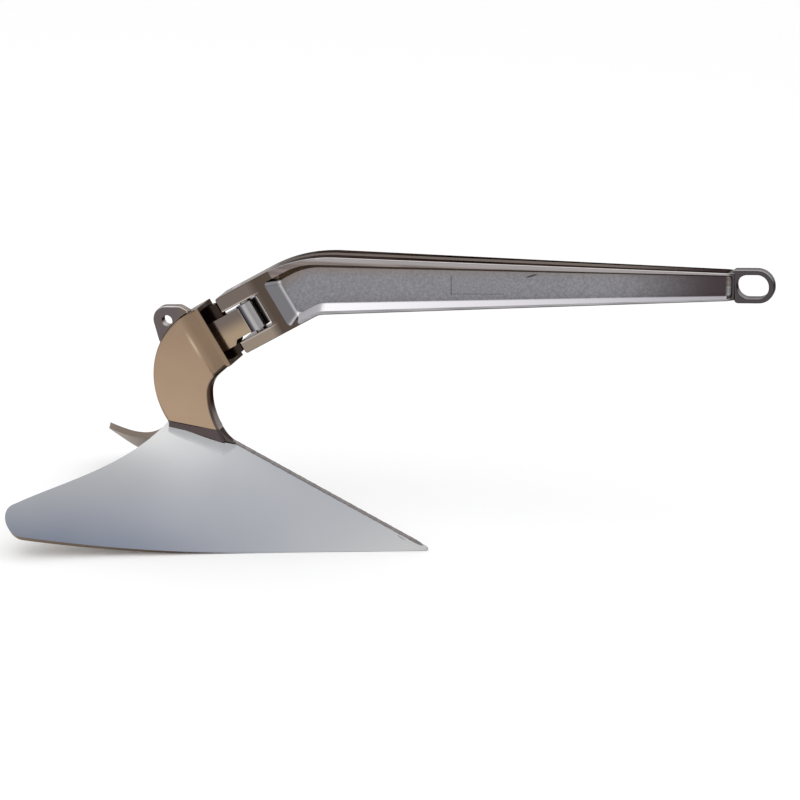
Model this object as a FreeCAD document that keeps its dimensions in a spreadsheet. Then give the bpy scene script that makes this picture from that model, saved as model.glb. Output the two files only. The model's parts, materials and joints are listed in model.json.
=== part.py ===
import FreeCAD, Part
import math
import os
import re
import Sketcher
from FreeCAD import Placement, Rotation, Vector

# Hinged plough anchor: two curved flukes welded along a ridge, a cast horn that
# stands on the ridge and ends in a knuckle, and a cast I-section shank whose fork
# swings on a pin through that knuckle.
#
# Sizes are in millimetres and degrees. Lengths called "back" run rearwards from
# the plough's point, heights run up from the surface it stands on.
SIZES = {
    # flukes
    "fluke_length": 514.2,
    "fluke_angle": 20.0,
    "fluke_thick": 8.0,
    "nose_half": 3.0,
    "wing_flare_back": 120.0,
    "wing_flare_radius": 4060.0,
    "tip_radius": 19.0,
    "root_back": 350.0,
    "trail_step": 50.0,
    "trail_inner_back": 401.3,
    "trail_middle_back": 450.4,
    "trail_outer_back": 495.7,
    "trail_end_angle": 54.0,
    "nose_height": 5.0,
    "ridge_angle": 23.75,
    "ridge_ease_back": 271.0,
    "ridge_ease_radius": 260.0,
    "ridge_end_angle": 11.3,
    "wing_lift_back": 190.5,
    "wing_lift_radius": 1396.0,
    "hollow": 1.32,
    "trim_margin": 6.0,
    # toe weight between the flukes
    "toe_back": 150.0,
    "toe_slant": 40.0,
    # hinge
    "pin_back": 236.9,
    "pin_height": 298.0,
    "hinge_tilt": 32.0,
    "pin_radius": 8.0,
    "pin_clearance": 0.05,
    "pin_chamfer": 0.8,
    "barrel_radius": 15.0,
    "barrel_length": 38.0,
    # horn
    "neck_thick": 20.0,
    "neck_back_behind": 182.6,
    "neck_back_drop": 60.0,
    "neck_back_radius": 108.5,
    "neck_front_behind": 59.5,
    "throat_drop": 97.8,
    "throat_radius": 36.0,
    "shin_rise": 26.3,
    "shin_radius": 88.0,
    "shin_angle": 64.0,
    "shin_drop": 42.0,
    "flange_back": 54.0,
    "flange_thick": 7.0,
    "flange_half_height": 43.0,
    "flange_width": 46.0,
    "flare_back": 91.0,
    "flare_radius": 20.0,
    "tongue_thick": 24.0,
    "tongue_above": 17.0,
    "tongue_below": 24.0,
    "root_web_thick": 12.0,
    "root_web_half_height": 38.0,
    "swing_gap": 1.6,
    "front_round": 5.0,
    "rim_round": 1.0,
    "back_round": 4.0,
    # tripping eye on the horn
    "lug_behind": 117.7,
    "lug_drop": 19.0,
    "lug_hole_radius": 7.5,
    "lug_radius": 19.5,
    "lug_rear_angle": 106.1,
    "lug_top_angle": 5.6,
    "lug_front_angle": -25.8,
    "lug_shoulder_ahead": 15.9,
    "lug_shoulder_rise": 10.1,
    "lug_shoulder_radius": 11.0,
    "lug_thick": 12.0,
    "lug_round": 2.0,
    # foot and root web of the horn
    "foot_rear_back": 353.0,
    "foot_width": 22.0,
    "foot_rear_height": 142.0,
    "foot_front_height": 137.1,
    "foot_front_back": 296.0,
    "foot_toe_back": 262.0,
    "foot_toe_width": 5.0,
    "foot_toe_radius": 40.0,
    "foot_shoulder_back": 310.0,
    "foot_plan_radius": 80.0,
    "web_thick": 12.0,
    "web_rear_back": 355.0,
    "web_front_back": 276.0,
    "web_low": 66.0,
    # shank
    "arm_back": 28.0,
    "arm_top": 42.0,
    "arm_bottom": 39.0,
    "window_half": 22.3,
    "window_front": 26.4,
    "corner_radius": 3.0,
    "bend_top_radius": 200.0,
    "bend_bottom_radius": 25.0,
    "eye_forward": 658.9,
    "eye_rise": 103.5,
    "beam_top_angle": 2.95,
    "beam_bottom_angle": 7.39,
    "beam_above_eye": 17.3,
    "beam_below_eye": 16.5,
    "head_width": 40.0,
    "taper_start": 46.9,
    "bend_station": 96.9,
    "bend_width": 37.0,
    "end_width": 20.0,
    # hollow of the I section
    "shank_web": 8.0,
    "recess_draft": 27.5,
    "recess_start": 60.0,
    "recess_ramp": 46.0,
    "recess_corner": 6.0,
    "recess_end_corner": 4.0,
    "recess_bend_top": 90.0,
    "recess_bend_bottom": 40.0,
    "recess_top": 22.5,
    "recess_bottom": 26.5,
    "recess_top_angle": 4.25,
    "recess_bottom_angle": 6.69,
    "rib_top_end": 5.2,
    "rib_bottom_end": 5.7,
    "recess_end_wall": 7.0,
    "panel_start": 268.8,
    "panel_length": 70.2,
    "panel_low": 54.8,
    "panel_height": 24.8,
    "panel_depth": 1.0,
    # shackle eye
    "slot_length": 40.0,
    "slot_height": 29.4,
    "ring_width": 7.0,
    "eye_thick": 12.0,
    "eye_shoulder": 5.0,
    "end_flat": 1.4,
    "eye_round": 2.4,
    "edge_round": 1.5,
}

doc = FreeCAD.newDocument("plough_anchor")
sheet = doc.addObject("Spreadsheet::Sheet", "Sizes")
for row, (name, number) in enumerate(SIZES.items(), start=1):
    sheet.set("A%d" % row, str(number))
    sheet.setAlias("A%d" % row, name)
doc.recompute()


def linked(formula):
    """The formula with every size name pointing at its cell in the sheet."""
    def cell(word):
        return "Sizes." + word.group() if word.group() in SIZES else word.group()
    return re.sub(r"[a-z][a-z_]+", cell, formula)


def value(formula):
    """What a formula over the sheet comes to, as a plain number."""
    result = sheet.evalExpression(linked(formula))
    return float(getattr(result, "Value", result))


def meet(x1, z1, angle1, x2, z2, angle2):
    """Where the line through (x1, z1) at angle1 crosses the one through (x2, z2) at angle2."""
    rise = "(%s - (%s) + (%s) * tan(%s) - (%s) * tan(%s))" % (z2, z1, x1, angle1, x2, angle2)
    x = "(%s / (tan(%s) - tan(%s)))" % (rise, angle1, angle2)
    z = "(%s + (%s - (%s)) * tan(%s))" % (z1, x, x1, angle1)
    return x, z


def tilted(along, across):
    """A point given along the fork and along the pin, measured from the pin's centre."""
    x = "((%s) * cos(hinge_tilt) - (%s) * sin(hinge_tilt))" % (along, across)
    z = "((%s) * sin(hinge_tilt) + (%s) * cos(hinge_tilt))" % (along, across)
    return x, z


def around(x, z, radius, angle_in, angle_out):
    """The corner whose rounding is the circle about (x, z), turning clockwise between two headings."""
    half = "((%s - (%s)) / 2)" % (angle_in, angle_out)
    middle = "((%s + %s) / 2 + 90)" % (angle_in, angle_out)
    reach = "((%s) / cos(%s))" % (radius, half)
    return "(%s + %s * cos(%s))" % (x, reach, middle), "(%s + %s * sin(%s))" % (z, reach, middle)


# Frames
EYE_TILT = "((beam_top_angle + beam_bottom_angle) / 2)"
EYE_END = ("(eye_forward - pin_back + (slot_length - slot_height) / 2 * cos(%s)"
           " + slot_height / 2 + ring_width)" % EYE_TILT)
# The plough's point lies this far forward of the middle of the whole length.
POINT_X = "((fluke_length - %s) / 2)" % EYE_END
PIN_X = "(%s - pin_back)" % POINT_X

FRAMES = {
    "plough side": ("XZ_Plane", (POINT_X, "0", "0"), (0, 0, 1), "0"),
    "plough plan": ("XY_Plane", (POINT_X, "0", "0"), (0, 0, 1), "0"),
    "pin side": ("XZ_Plane", (PIN_X, "pin_height", "0"), (0, 0, 1), "0"),
    "pin plan": ("XY_Plane", (PIN_X, "0", "0"), (0, 0, 1), "0"),
    "fork side": ("XZ_Plane", (PIN_X, "pin_height", "0"), (0, 0, 1), "hinge_tilt"),
    "fork plan": ("XY_Plane", (PIN_X, "0", "pin_height"), (0, -1, 0), "hinge_tilt"),
    "eye side": ("XZ_Plane", (PIN_X + " + eye_forward", "pin_height + eye_rise", "0"), (0, 0, 1), EYE_TILT),
}


def new_body(name):
    """A body labelled with the piece's name."""
    body = doc.addObject("PartDesign::Body", name)
    body.Label = name
    return body


def origin_plane(body, role):
    """One of the body's own origin planes."""
    return [item for item in body.Origin.OriginFeatures if item.Role == role][0]


def new_sketch(body, name, frame, lift="0"):
    """A sketch in one of the frames, raised off its plane by lift."""
    role, base, axis, angle = FRAMES[frame]
    base = (base[0], base[1], "%s + %s" % (base[2], lift))
    sketch = body.newObject("Sketcher::SketchObject", name)
    sketch.AttachmentSupport = [(origin_plane(body, role), "")]
    sketch.MapMode = "FlatFace"
    place = Vector(value(base[0]), value(base[1]), value(base[2]))
    sketch.AttachmentOffset = Placement(place, Rotation(Vector(*axis), value(angle)))
    for coordinate, formula in zip("xyz", base):
        sketch.setExpression("AttachmentOffset.Base." + coordinate, linked(formula))
    if angle != "0":
        sketch.setExpression("AttachmentOffset.Rotation.Angle", linked(angle))
    return sketch


def drive(sketch, constraint, formula):
    """Add a constraint and bind its datum to the sheet."""
    index = sketch.addConstraint(constraint)
    sketch.setExpression("Constraints[%d]" % index, linked(formula))


def pin_point(sketch, geometry, end, x, y):
    """Hold one point of a sketch at (x, y) from the sketch's origin."""
    drive(sketch, Sketcher.Constraint("DistanceX", -1, 1, geometry, end, value(x)), x)
    drive(sketch, Sketcher.Constraint("DistanceY", -1, 1, geometry, end, value(y)), y)


def outline(sketch, corners):
    """A closed outline of straight runs; a corner with a radius is rounded by a tangent arc."""
    points = [Vector(value(x), value(y), 0) for x, y, radius in corners]
    count = len(points)
    starts = []
    arcs = []
    for index, (x, y, radius) in enumerate(corners):
        here = points[index]
        arriving = (here - points[index - 1]).normalize()
        leaving = (points[(index + 1) % count] - here).normalize()
        if radius is None:
            starts.append((here, here))
            arcs.append(None)
            continue
        size = value(radius)
        turn = arriving.getAngle(leaving)
        run = size * math.tan(turn / 2)
        left = arriving.cross(leaving).z > 0
        side = 1 if left else -1
        first = here - arriving * run
        last = here + leaving * run
        centre = first + Vector(-arriving.y, arriving.x, 0) * (side * size)
        begin, end = (first, last) if left else (last, first)
        angle_a = math.atan2(begin.y - centre.y, begin.x - centre.x)
        angle_b = math.atan2(end.y - centre.y, end.x - centre.x)
        starts.append((first, last))
        arcs.append((Part.ArcOfCircle(Part.Circle(centre, Vector(0, 0, 1), size), angle_a, angle_b), left))
    lines = []
    for index in range(count):
        segment = Part.LineSegment(starts[index][1], starts[(index + 1) % count][0])
        lines.append(sketch.addGeometry(segment, False))
    for index, (x, y, radius) in enumerate(corners):
        before = lines[index - 1]
        after = lines[index]
        if radius is None:
            sketch.addConstraint(Sketcher.Constraint("Coincident", before, 2, after, 1))
            pin_point(sketch, after, 1, x, y)
            continue
        arc, left = arcs[index]
        rounding = sketch.addGeometry(arc, False)
        corner = sketch.addGeometry(Part.Point(points[index]), True)
        enter, leave = (1, 2) if left else (2, 1)
        sketch.addConstraint(Sketcher.Constraint("Tangent", before, 2, rounding, enter))
        sketch.addConstraint(Sketcher.Constraint("Tangent", rounding, leave, after, 1))
        sketch.addConstraint(Sketcher.Constraint("PointOnObject", corner, 1, before))
        sketch.addConstraint(Sketcher.Constraint("PointOnObject", corner, 1, after))
        pin_point(sketch, corner, 1, x, y)
        drive(sketch, Sketcher.Constraint("Radius", rounding, value(radius)), radius)


def circle(sketch, x, y, radius):
    """A circle held by its centre and radius."""
    ring = Part.Circle(Vector(value(x), value(y), 0), Vector(0, 0, 1), value(radius))
    geometry = sketch.addGeometry(ring, False)
    pin_point(sketch, geometry, 3, x, y)
    drive(sketch, Sketcher.Constraint("Radius", geometry, value(radius)), radius)


def swept_both_ways(body, kind, name, sketch, length):
    """A pad or pocket that runs half its length to each side of the sketch."""
    before = body.Shape.Volume if body.Tip else 0.0
    feature = body.newObject("PartDesign::" + kind, name)
    feature.Profile = sketch
    feature.SideType = "Symmetric"
    feature.Length = value(length)
    feature.setExpression("Length", linked(length))
    doc.recompute()
    grew = body.Shape.Volume > before + 1
    shrank = body.Shape.Volume < before - 1
    if not (grew if kind == "Pad" else shrank):
        raise RuntimeError("%s changed nothing" % name)
    return feature


def rounded(body, name, radius, chosen):
    """Round the edges of the body's present shape that the chosen test picks out."""
    base = body.Tip
    names = ["Edge%d" % (index + 1) for index, edge in enumerate(base.Shape.Edges) if chosen(edge)]
    fillet = body.newObject("PartDesign::Fillet", name)
    fillet.Base = (base, names)
    fillet.Radius = value(radius)
    fillet.setExpression("Radius", linked(radius))
    doc.recompute()
    return fillet


POINT = Vector(value(POINT_X), 0, 0)


def samples(edge):
    """Three points of an edge, with x measured from the plough's point."""
    first, last = edge.ParameterRange
    return [edge.valueAt(first + (last - first) * part) - POINT for part in (0.02, 0.5, 0.98)]


# Shank: fork, bent arm and tapering beam of I section, ending in the shackle eye.
shank = new_body("shank")
beam_top = ("eye_forward", "eye_rise + beam_above_eye", "beam_top_angle")
beam_bottom = ("eye_forward", "eye_rise - beam_below_eye", "beam_bottom_angle")
BEAM_END = "(eye_forward - slot_length / 2 - 3)"

# Shackle eye: a ring with a long slot, thinner than the beam's end.
eye_outer = new_sketch(shank, "eye_outer", "eye side")
SLOT_ROUND = "(slot_height - end_flat) / 2"
EYE_HALF = "(slot_height / 2 + ring_width)"
EYE_FRONT = "(slot_length / 2 + ring_width)"
EYE_REAR = "(-slot_length / 2 - eye_shoulder)"
outline(eye_outer, [
    (EYE_REAR, EYE_HALF, "ring_width - 2"),
    (EYE_REAR, "-" + EYE_HALF, "ring_width - 2"),
    (EYE_FRONT, "-" + EYE_HALF, SLOT_ROUND + " + ring_width"),
    (EYE_FRONT, EYE_HALF, SLOT_ROUND + " + ring_width"),
])
swept_both_ways(shank, "Pad", "eye_ring", eye_outer, "eye_thick")

eye_inner = new_sketch(shank, "eye_slot", "eye side")
outline(eye_inner, [
    (sign_x + "slot_length / 2", sign_z + "slot_height / 2", SLOT_ROUND)
    for sign_x, sign_z in (("-", ""), ("-", "-"), ("", "-"), ("", ""))
])
swept_both_ways(shank, "Pocket", "eye_cut", eye_inner, "2 * head_width")


def on_eye_rim(edge):
    """Edges of the ring's two flat faces, but for the straight rear one that the beam joins."""
    points = samples(edge)
    flat = all(abs(abs(p.y) - value("eye_thick / 2")) < 1e-3 for p in points)
    heading = (points[2] - points[0]).normalize()
    joins_beam = abs(heading.z) > 0.9 and points[1].x < value("eye_forward - pin_back - slot_length / 2 - 1")
    return flat and not joins_beam


rounded(shank, "eye_rounding", "eye_round", on_eye_rim)

# Fork, bend and beam in one outline.
side = new_sketch(shank, "shank_side", "pin side")
outline(side, [
    (*tilted("-arm_back", "arm_top"), "corner_radius"),
    (*tilted("-arm_back", "window_half"), None),
    (*tilted("window_front", "window_half"), "corner_radius"),
    (*tilted("window_front", "-window_half"), "corner_radius"),
    (*tilted("-arm_back", "-window_half"), None),
    (*tilted("-arm_back", "-arm_bottom"), "corner_radius"),
    (*meet(*tilted("0", "-arm_bottom"), "hinge_tilt", *beam_bottom), "bend_bottom_radius"),
    (BEAM_END, "eye_rise - beam_below_eye + (%s - eye_forward) * tan(beam_bottom_angle)" % BEAM_END, None),
    (BEAM_END, "eye_rise + beam_above_eye + (%s - eye_forward) * tan(beam_top_angle)" % BEAM_END, None),
    (*meet(*tilted("0", "arm_top"), "hinge_tilt", *beam_top), "bend_top_radius"),
])
swept_both_ways(shank, "Pad", "shank_blank", side, "head_width")

# The flanks close in towards the eye.
cheeks = new_sketch(shank, "shank_flanks", "pin plan")
for sign in ("", "-"):
    outline(cheeks, [
        ("taper_start", sign + "head_width / 2", None),
        ("bend_station", sign + "bend_width / 2", None),
        ("eye_forward - slot_length / 2 - 12", sign + "end_width / 2", None),
        ("eye_forward - slot_length / 2", sign + "eye_thick / 2", None),
        ("eye_forward + slot_length", sign + "eye_thick / 2", None),
        ("eye_forward + slot_length", sign + "head_width", None),
        ("taper_start", sign + "head_width", None),
    ])
swept_both_ways(shank, "Pocket", "shank_taper", cheeks, "4 * (pin_height + eye_rise + beam_above_eye)")


def on_flank_rim(edge):
    """Edges round the flanks, but not the lines where the flanks change slope."""
    points = samples(edge)
    across = max(p.x for p in points) - min(p.x for p in points)
    level = value("eye_thick / 2") + 1e-3
    return across > 1e-3 and all(abs(p.y) > level for p in points)


rounded(shank, "flank_rounding", "edge_round", on_flank_rim)


def recess_corners(shift):
    """The recess outline after its drafted walls have opened out by shift."""
    start = "(recess_start - (%s) / tan(recess_draft) / tan(recess_ramp))" % shift
    top = ("eye_forward", "(eye_rise + beam_above_eye - rib_top_end + %s)" % shift, "recess_top_angle")
    low = ("eye_forward", "(eye_rise - beam_below_eye + rib_bottom_end - %s)" % shift, "recess_bottom_angle")
    end = "(eye_forward - slot_length / 2 - recess_end_wall + %s)" % shift
    arm_top = "(recess_top + %s)" % shift
    arm_low = "(-recess_bottom - %s)" % shift
    return [
        (*tilted(start, arm_top), "recess_corner"),
        (*tilted(start, arm_low), "recess_corner"),
        (*meet(*tilted("0", arm_low), "hinge_tilt", *low), "recess_bend_bottom"),
        (end, "(%s + (%s - eye_forward) * tan(recess_bottom_angle))" % (low[1], end), "recess_end_corner"),
        (end, "(%s + (%s - eye_forward) * tan(recess_top_angle))" % (top[1], end), "recess_end_corner"),
        (*meet(*tilted("0", arm_top), "hinge_tilt", *top), "recess_bend_top"),
    ]


floor_outline = new_sketch(shank, "recess_floor", "pin side", "shank_web / 2")
outline(floor_outline, recess_corners("0"))
rim_outline = new_sketch(shank, "recess_rim", "pin side", "head_width / 2")
outline(rim_outline, recess_corners("((head_width - shank_web) / 2 * tan(recess_draft))"))
recess = shank.newObject("PartDesign::SubtractiveLoft", "recess_near")
recess.Profile = floor_outline
recess.Sections = [rim_outline]
recess.Ruled = True
doc.recompute()
far_recess = shank.newObject("PartDesign::Mirrored", "recess_far")
far_recess.Originals = [recess]
far_recess.MirrorPlane = (origin_plane(shank, "XZ_Plane"), [""])
shank.Tip = far_recess
doc.recompute()

# Bore through both arms of the fork for the hinge pin.
bore = new_sketch(shank, "fork_bore", "fork plan")
circle(bore, "0", "0", "pin_radius")
swept_both_ways(shank, "Pocket", "fork_bore_cut", bore, "4 * (arm_top + arm_bottom)")

# Shallow bare panel on the web's near face.
panel = new_sketch(shank, "panel", "pin side", "shank_web / 2")
PANEL_SLOPE = "tan((recess_top_angle + recess_bottom_angle) / 2)"
outline(panel, [
    ("panel_start", "panel_low", "corner_radius / 2"),
    ("panel_start + panel_length", "panel_low + panel_length * " + PANEL_SLOPE, "corner_radius / 2"),
    ("panel_start + panel_length", "panel_low + panel_height + panel_length * " + PANEL_SLOPE,
     "corner_radius / 2"),
    ("panel_start", "panel_low + panel_height", "corner_radius / 2"),
])
swept_both_ways(shank, "Pocket", "panel_cut", panel, "2 * panel_depth")


# Hinge pin: flush with the outer faces of the fork's arms, its ends chamfered.
hinge_pin = new_body("hinge_pin")
pin_section = new_sketch(hinge_pin, "pin_section", "fork plan", "0")
circle(pin_section, "0", "0", "pin_radius")
pin_pad = hinge_pin.newObject("PartDesign::Pad", "pin_pad")
pin_pad.Profile = pin_section
pin_pad.SideType = "Two sides"
pin_pad.Length = value("arm_top")
pin_pad.Length2 = value("arm_bottom")
pin_pad.setExpression("Length", linked("arm_top"))
pin_pad.setExpression("Length2", linked("arm_bottom"))
doc.recompute()
pin_ends = hinge_pin.newObject("PartDesign::Chamfer", "pin_ends")
rims = ["Edge%d" % (index + 1) for index, edge in enumerate(pin_pad.Shape.Edges) if edge.isClosed()]
pin_ends.Base = (pin_pad, rims)
pin_ends.Size = value("pin_chamfer")
pin_ends.setExpression("Size", linked("pin_chamfer"))
doc.recompute()


# Fluke surfaces, worked out over the half plan for y from the ridge outwards.
def ridge_height(back):
    """Height of the outer surface along the ridge: a straight climb that eases off in an arc."""
    slope = math.tan(math.radians(value("ridge_angle")))
    last = math.tan(math.radians(value("ridge_end_angle")))
    past = max(0.0, back - value("ridge_ease_back"))
    eased = min(past, (slope - last) * value("ridge_ease_radius"))
    climb = slope * (back - past) + slope * eased - eased ** 2 / (2 * value("ridge_ease_radius"))
    return value("nose_height") + climb + last * (past - eased)


def edge_height(back):
    """Height of the lower edge: on the ground forward, swept up in a long arc to the wing."""
    past = max(0.0, back - value("wing_lift_back"))
    return past ** 2 / (2 * value("wing_lift_radius"))


def half_width(back):
    """Half width of the plan: a straight wedge that flares outwards in a long arc."""
    past = max(0.0, back - value("wing_flare_back"))
    wedge = back * math.tan(math.radians(value("fluke_angle")))
    return value("nose_half") + wedge + past ** 2 / (2 * value("wing_flare_radius"))


def outer_point(back, part):
    """A point of the outer surface, part of the way from the ridge (0) to the edge (1)."""
    low = edge_height(back)
    high = ridge_height(back)
    bow = value("hollow") * (back / value("fluke_length")) ** 2 * part * max(0.0, 1 - part) ** 3
    return Vector(-back, part * half_width(back), low + (high - low) * (1 - part - bow))


def grid(depth):
    """Points of the surface that lies depth inside the outer one, a little past the plan all round."""
    rows = []
    step = 1e-3
    for row in range(24):
        back = value("(fluke_length + 2 * trim_margin) * %d / 23 - trim_margin" % row)
        line = []
        for column in range(12):
            part = -0.12 + 1.30 * column / 11
            here = outer_point(back, part)
            along = outer_point(back + step, part) - here
            across = outer_point(back, part + step) - here
            normal = across.cross(along).normalize()
            if normal.z < 0:
                normal = -normal
            line.append(here - normal * depth)
        rows.append(line)
    return rows


def below(depth):
    """Everything under the surface that lies depth inside the outer one."""
    surface = Part.BSplineSurface()
    surface.interpolate(grid(depth))
    drop = Vector(0, 0, -2 * value("pin_height"))
    return surface.toShape().extrude(drop)


def half_plan():
    """The plan outline of one fluke as a block through the ground: y from the ridge outwards."""
    radius = value("tip_radius")
    rear = value("fluke_length")
    step = 1e-3
    angle = math.atan((half_width(rear - radius + step) - half_width(rear - radius)) / step)
    centre = Vector(radius - rear, half_width(rear - radius) - radius / math.cos(angle), 0)
    outward = Vector(math.sin(angle), math.cos(angle), 0)
    edge_end = centre + outward * radius
    heading = math.radians(value("trail_end_angle"))
    begin = Vector(-math.sin(heading), -math.cos(heading), 0)
    corner = (outward + begin).normalize()
    trail_end = centre + begin * radius
    root = Vector(-value("root_back"), 0, 0)
    nose = Vector(0, value("nose_half"), 0)
    stations = [root]
    for step, name in enumerate(("trail_inner_back", "trail_middle_back", "trail_outer_back"), start=1):
        stations.append(Vector(-value(name), step * value("trail_step"), 0))
    stations.append(trail_end)
    trail = Part.BSplineCurve()
    trail.interpolate(Points=stations, InitialTangent=(stations[1] - root).normalize(),
                      FinalTangent=Vector(-math.cos(heading), math.sin(heading), 0))
    flare = value("wing_flare_back")
    shoulder = Vector(-flare, half_width(flare), 0)
    middle = (flare - edge_end.x) / 2
    side = Part.BSplineCurve()
    side.interpolate(Points=[edge_end, Vector(-middle, half_width(middle), 0), shoulder],
                     InitialTangent=Vector(outward.y, -outward.x, 0), FinalTangent=(nose - shoulder).normalize())
    wire = Part.Wire([
        trail.toShape(),
        Part.Arc(trail_end, centre + corner * radius, edge_end).toShape(),
        side.toShape(),
        Part.LineSegment(shoulder, nose).toShape(),
        Part.LineSegment(nose, Vector(0, 0, 0)).toShape(),
        Part.LineSegment(Vector(0, 0, 0), root).toShape(),
    ])
    block = Part.Face(wire).extrude(Vector(0, 0, 3 * value("pin_height")))
    block.translate(Vector(0, 0, -value("pin_height")))
    return block


def below_edge():
    """What lies outside a fluke's lower edge, which is cut square to the plate."""
    rows = []
    step = 1e-3
    for row in range(16):
        back = value("(fluke_length + 2 * trim_margin) * %d / 15 - trim_margin" % row)
        edge = outer_point(back, 1)
        inward = outer_point(back, 1 - step) - edge
        rearward = outer_point(back + step, 1) - edge
        normal = inward.cross(rearward).normalize()
        if normal.z < 0:
            normal = -normal
        rows.append([edge + normal * (value("fluke_thick") * reach) for reach in (1.5, 0.5, -0.5, -1.5, -2.5)])
    surface = Part.BSplineSurface()
    surface.interpolate(rows)
    return surface.toShape().extrude(Vector(0, value("4 * fluke_thick"), value("-fluke_thick")))


plan = half_plan()
ground = Part.makeBox(value("4 * fluke_length"), value("4 * fluke_length"), value("4 * pin_height"),
                      Vector(value("-2 * fluke_length"), value("-2 * fluke_length"), value("-4 * pin_height")))
solid_half = plan.common(below(0))
hollow_half = plan.common(below(value("fluke_thick"))).cut(ground)
plate = solid_half.cut(hollow_half).cut(below_edge()).cut(ground)


def code_piece(name, shape):
    """A piece whose shape is set directly, moved to the part's own origin."""
    piece = doc.addObject("Part::Feature", name)
    piece.Label = name
    piece.Shape = shape
    piece.Placement = Placement(POINT, Rotation())
    piece.setExpression("Placement.Base.x", linked(POINT_X))
    return piece


def mirrored(shape):
    """The same shape on the other side of the ridge."""
    return shape.mirror(Vector(0, 0, 0), Vector(0, 1, 0))


# The horn's root web passes down between the plates through a slot in the ridge.
slot_size = (value("2 * web_rear_back - web_front_back"), value("web_thick"), value("2 * pin_height"))
web_slot = Part.makeBox(*slot_size, Vector(value("-2 * web_rear_back"), value("-web_thick / 2"), 0))

# Toe weight: fills the plough's point up to a slanted rear face.
slant = math.radians(value("toe_slant"))
toe_front = Part.makeBox(value("4 * toe_back"), value("4 * toe_back"), value("4 * toe_back"))
toe_front.translate(Vector(0, value("-2 * toe_back"), value("-2 * toe_back")))
toe_front.rotate(Vector(0, 0, 0), Vector(0, 1, 0), -math.degrees(slant))
toe_front.translate(Vector(value("-toe_back"), 0, 0))
toe_half = hollow_half.common(toe_front)

port = code_piece("fluke_port", plate.cut(web_slot))
starboard = code_piece("fluke_starboard", mirrored(plate.cut(web_slot)))
toe_weight = code_piece("toe_weight", toe_half.fuse(mirrored(toe_half)).removeSplitter())

# Horn: neck, flange and flare cut from one side outline.
casting = new_body("horn_casting")
neck_side = new_sketch(casting, "neck_side", "plough side")


def from_pin(along, across):
    """A point of the fork's frame, measured from the plough's point."""
    x, z = tilted(along, across)
    return "(%s - pin_back)" % x, "(%s + pin_height)" % z


NECK_FRONT = "(-pin_back - neck_front_behind)"
THROAT = "(pin_height - throat_drop)"
SHIN = "(foot_front_height + shin_rise)"
outline(neck_side, [
    ("-web_rear_back + 6", "foot_rear_height - foot_width / 2", None),
    ("-pin_back - neck_back_behind", "pin_height - neck_back_drop",
     "min(neck_back_radius; pin_height - foot_rear_height - 2 * foot_width)"),
    (*from_pin("-flange_back - flange_thick", "flange_half_height"), None),
    (*from_pin("-flange_back", "flange_half_height"), None),
    (*from_pin("-flange_back", "-flange_half_height"), None),
    (*from_pin("-flange_back - flange_thick", "-flange_half_height"), None),
    (NECK_FRONT, THROAT, "min(throat_radius; %s - %s)" % (THROAT, SHIN)),
    (NECK_FRONT, SHIN, "min(shin_radius; 2.4 * (%s - %s))" % (THROAT, SHIN)),
    (NECK_FRONT + " + shin_drop / tan(shin_angle)", SHIN + " - shin_drop", None),
    (NECK_FRONT, "web_low", None),
])
swept_both_ways(casting, "Pad", "neck_blank", neck_side, "flange_width")

# The neck's flat cheeks flare out to the flange's rim.
flare = new_sketch(casting, "neck_cheeks", "fork plan")
for sign in ("", "-"):
    outline(flare, [
        ("-pin_height", sign + "neck_thick / 2", None),
        ("-flare_back", sign + "neck_thick / 2", "flare_radius"),
        ("-flange_back - flange_thick", sign + "flange_width / 2", None),
        ("-flange_back - flange_thick", sign + "flange_width", None),
        ("-pin_height", sign + "flange_width", None),
    ])
swept_both_ways(casting, "Pocket", "cheek_cut", flare, "4 * pin_height")


def fork_place(point):
    """How far a point lies along the fork and along the pin from the pin's centre."""
    tilt = math.radians(value("hinge_tilt"))
    x = point.x + value("pin_back")
    z = point.z - value("pin_height")
    return x * math.cos(tilt) + z * math.sin(tilt), z * math.cos(tilt) - x * math.sin(tilt)


def on_cheek_rim(edge):
    """Edges where the cheeks and the flare meet the neck's front and back."""
    points = samples(edge)
    off_middle = all(abs(p.y) > value("neck_thick / 2") - 1e-3 for p in points)
    along = [fork_place(p)[0] for p in points]
    crosses = max(along) - min(along) > 1e-3 or points[1].z < value(THROAT)
    behind_rim = min(along) < value("-flange_back - flange_thick") - 1e-2
    return off_middle and crosses and behind_rim


def on_front(edge):
    """Those of them that run down the throat and the shin."""
    return on_cheek_rim(edge) and samples(edge)[1].x > value(NECK_FRONT) - 1 and (
        fork_place(samples(edge)[1])[1] < 0 and samples(edge)[1].z > value(SHIN + " - shin_drop"))


def on_back(edge):
    """Those of them that run up the back."""
    return on_cheek_rim(edge) and samples(edge)[1].x < value(NECK_FRONT + " - neck_thick / 2") and (
        samples(edge)[0].z > value("foot_rear_height - foot_width / 2"))


def on_flange_face(edge):
    """Edges of the flange's front face."""
    return all(abs(fork_place(p)[0] + value("flange_back")) < 1e-3 for p in samples(edge))


rounded(casting, "flange_rounding", "rim_round", on_flange_face)
rounded(casting, "neck_front_rounding", "front_round", on_front)
rounded(casting, "neck_back_rounding", "back_round", on_back)

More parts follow.
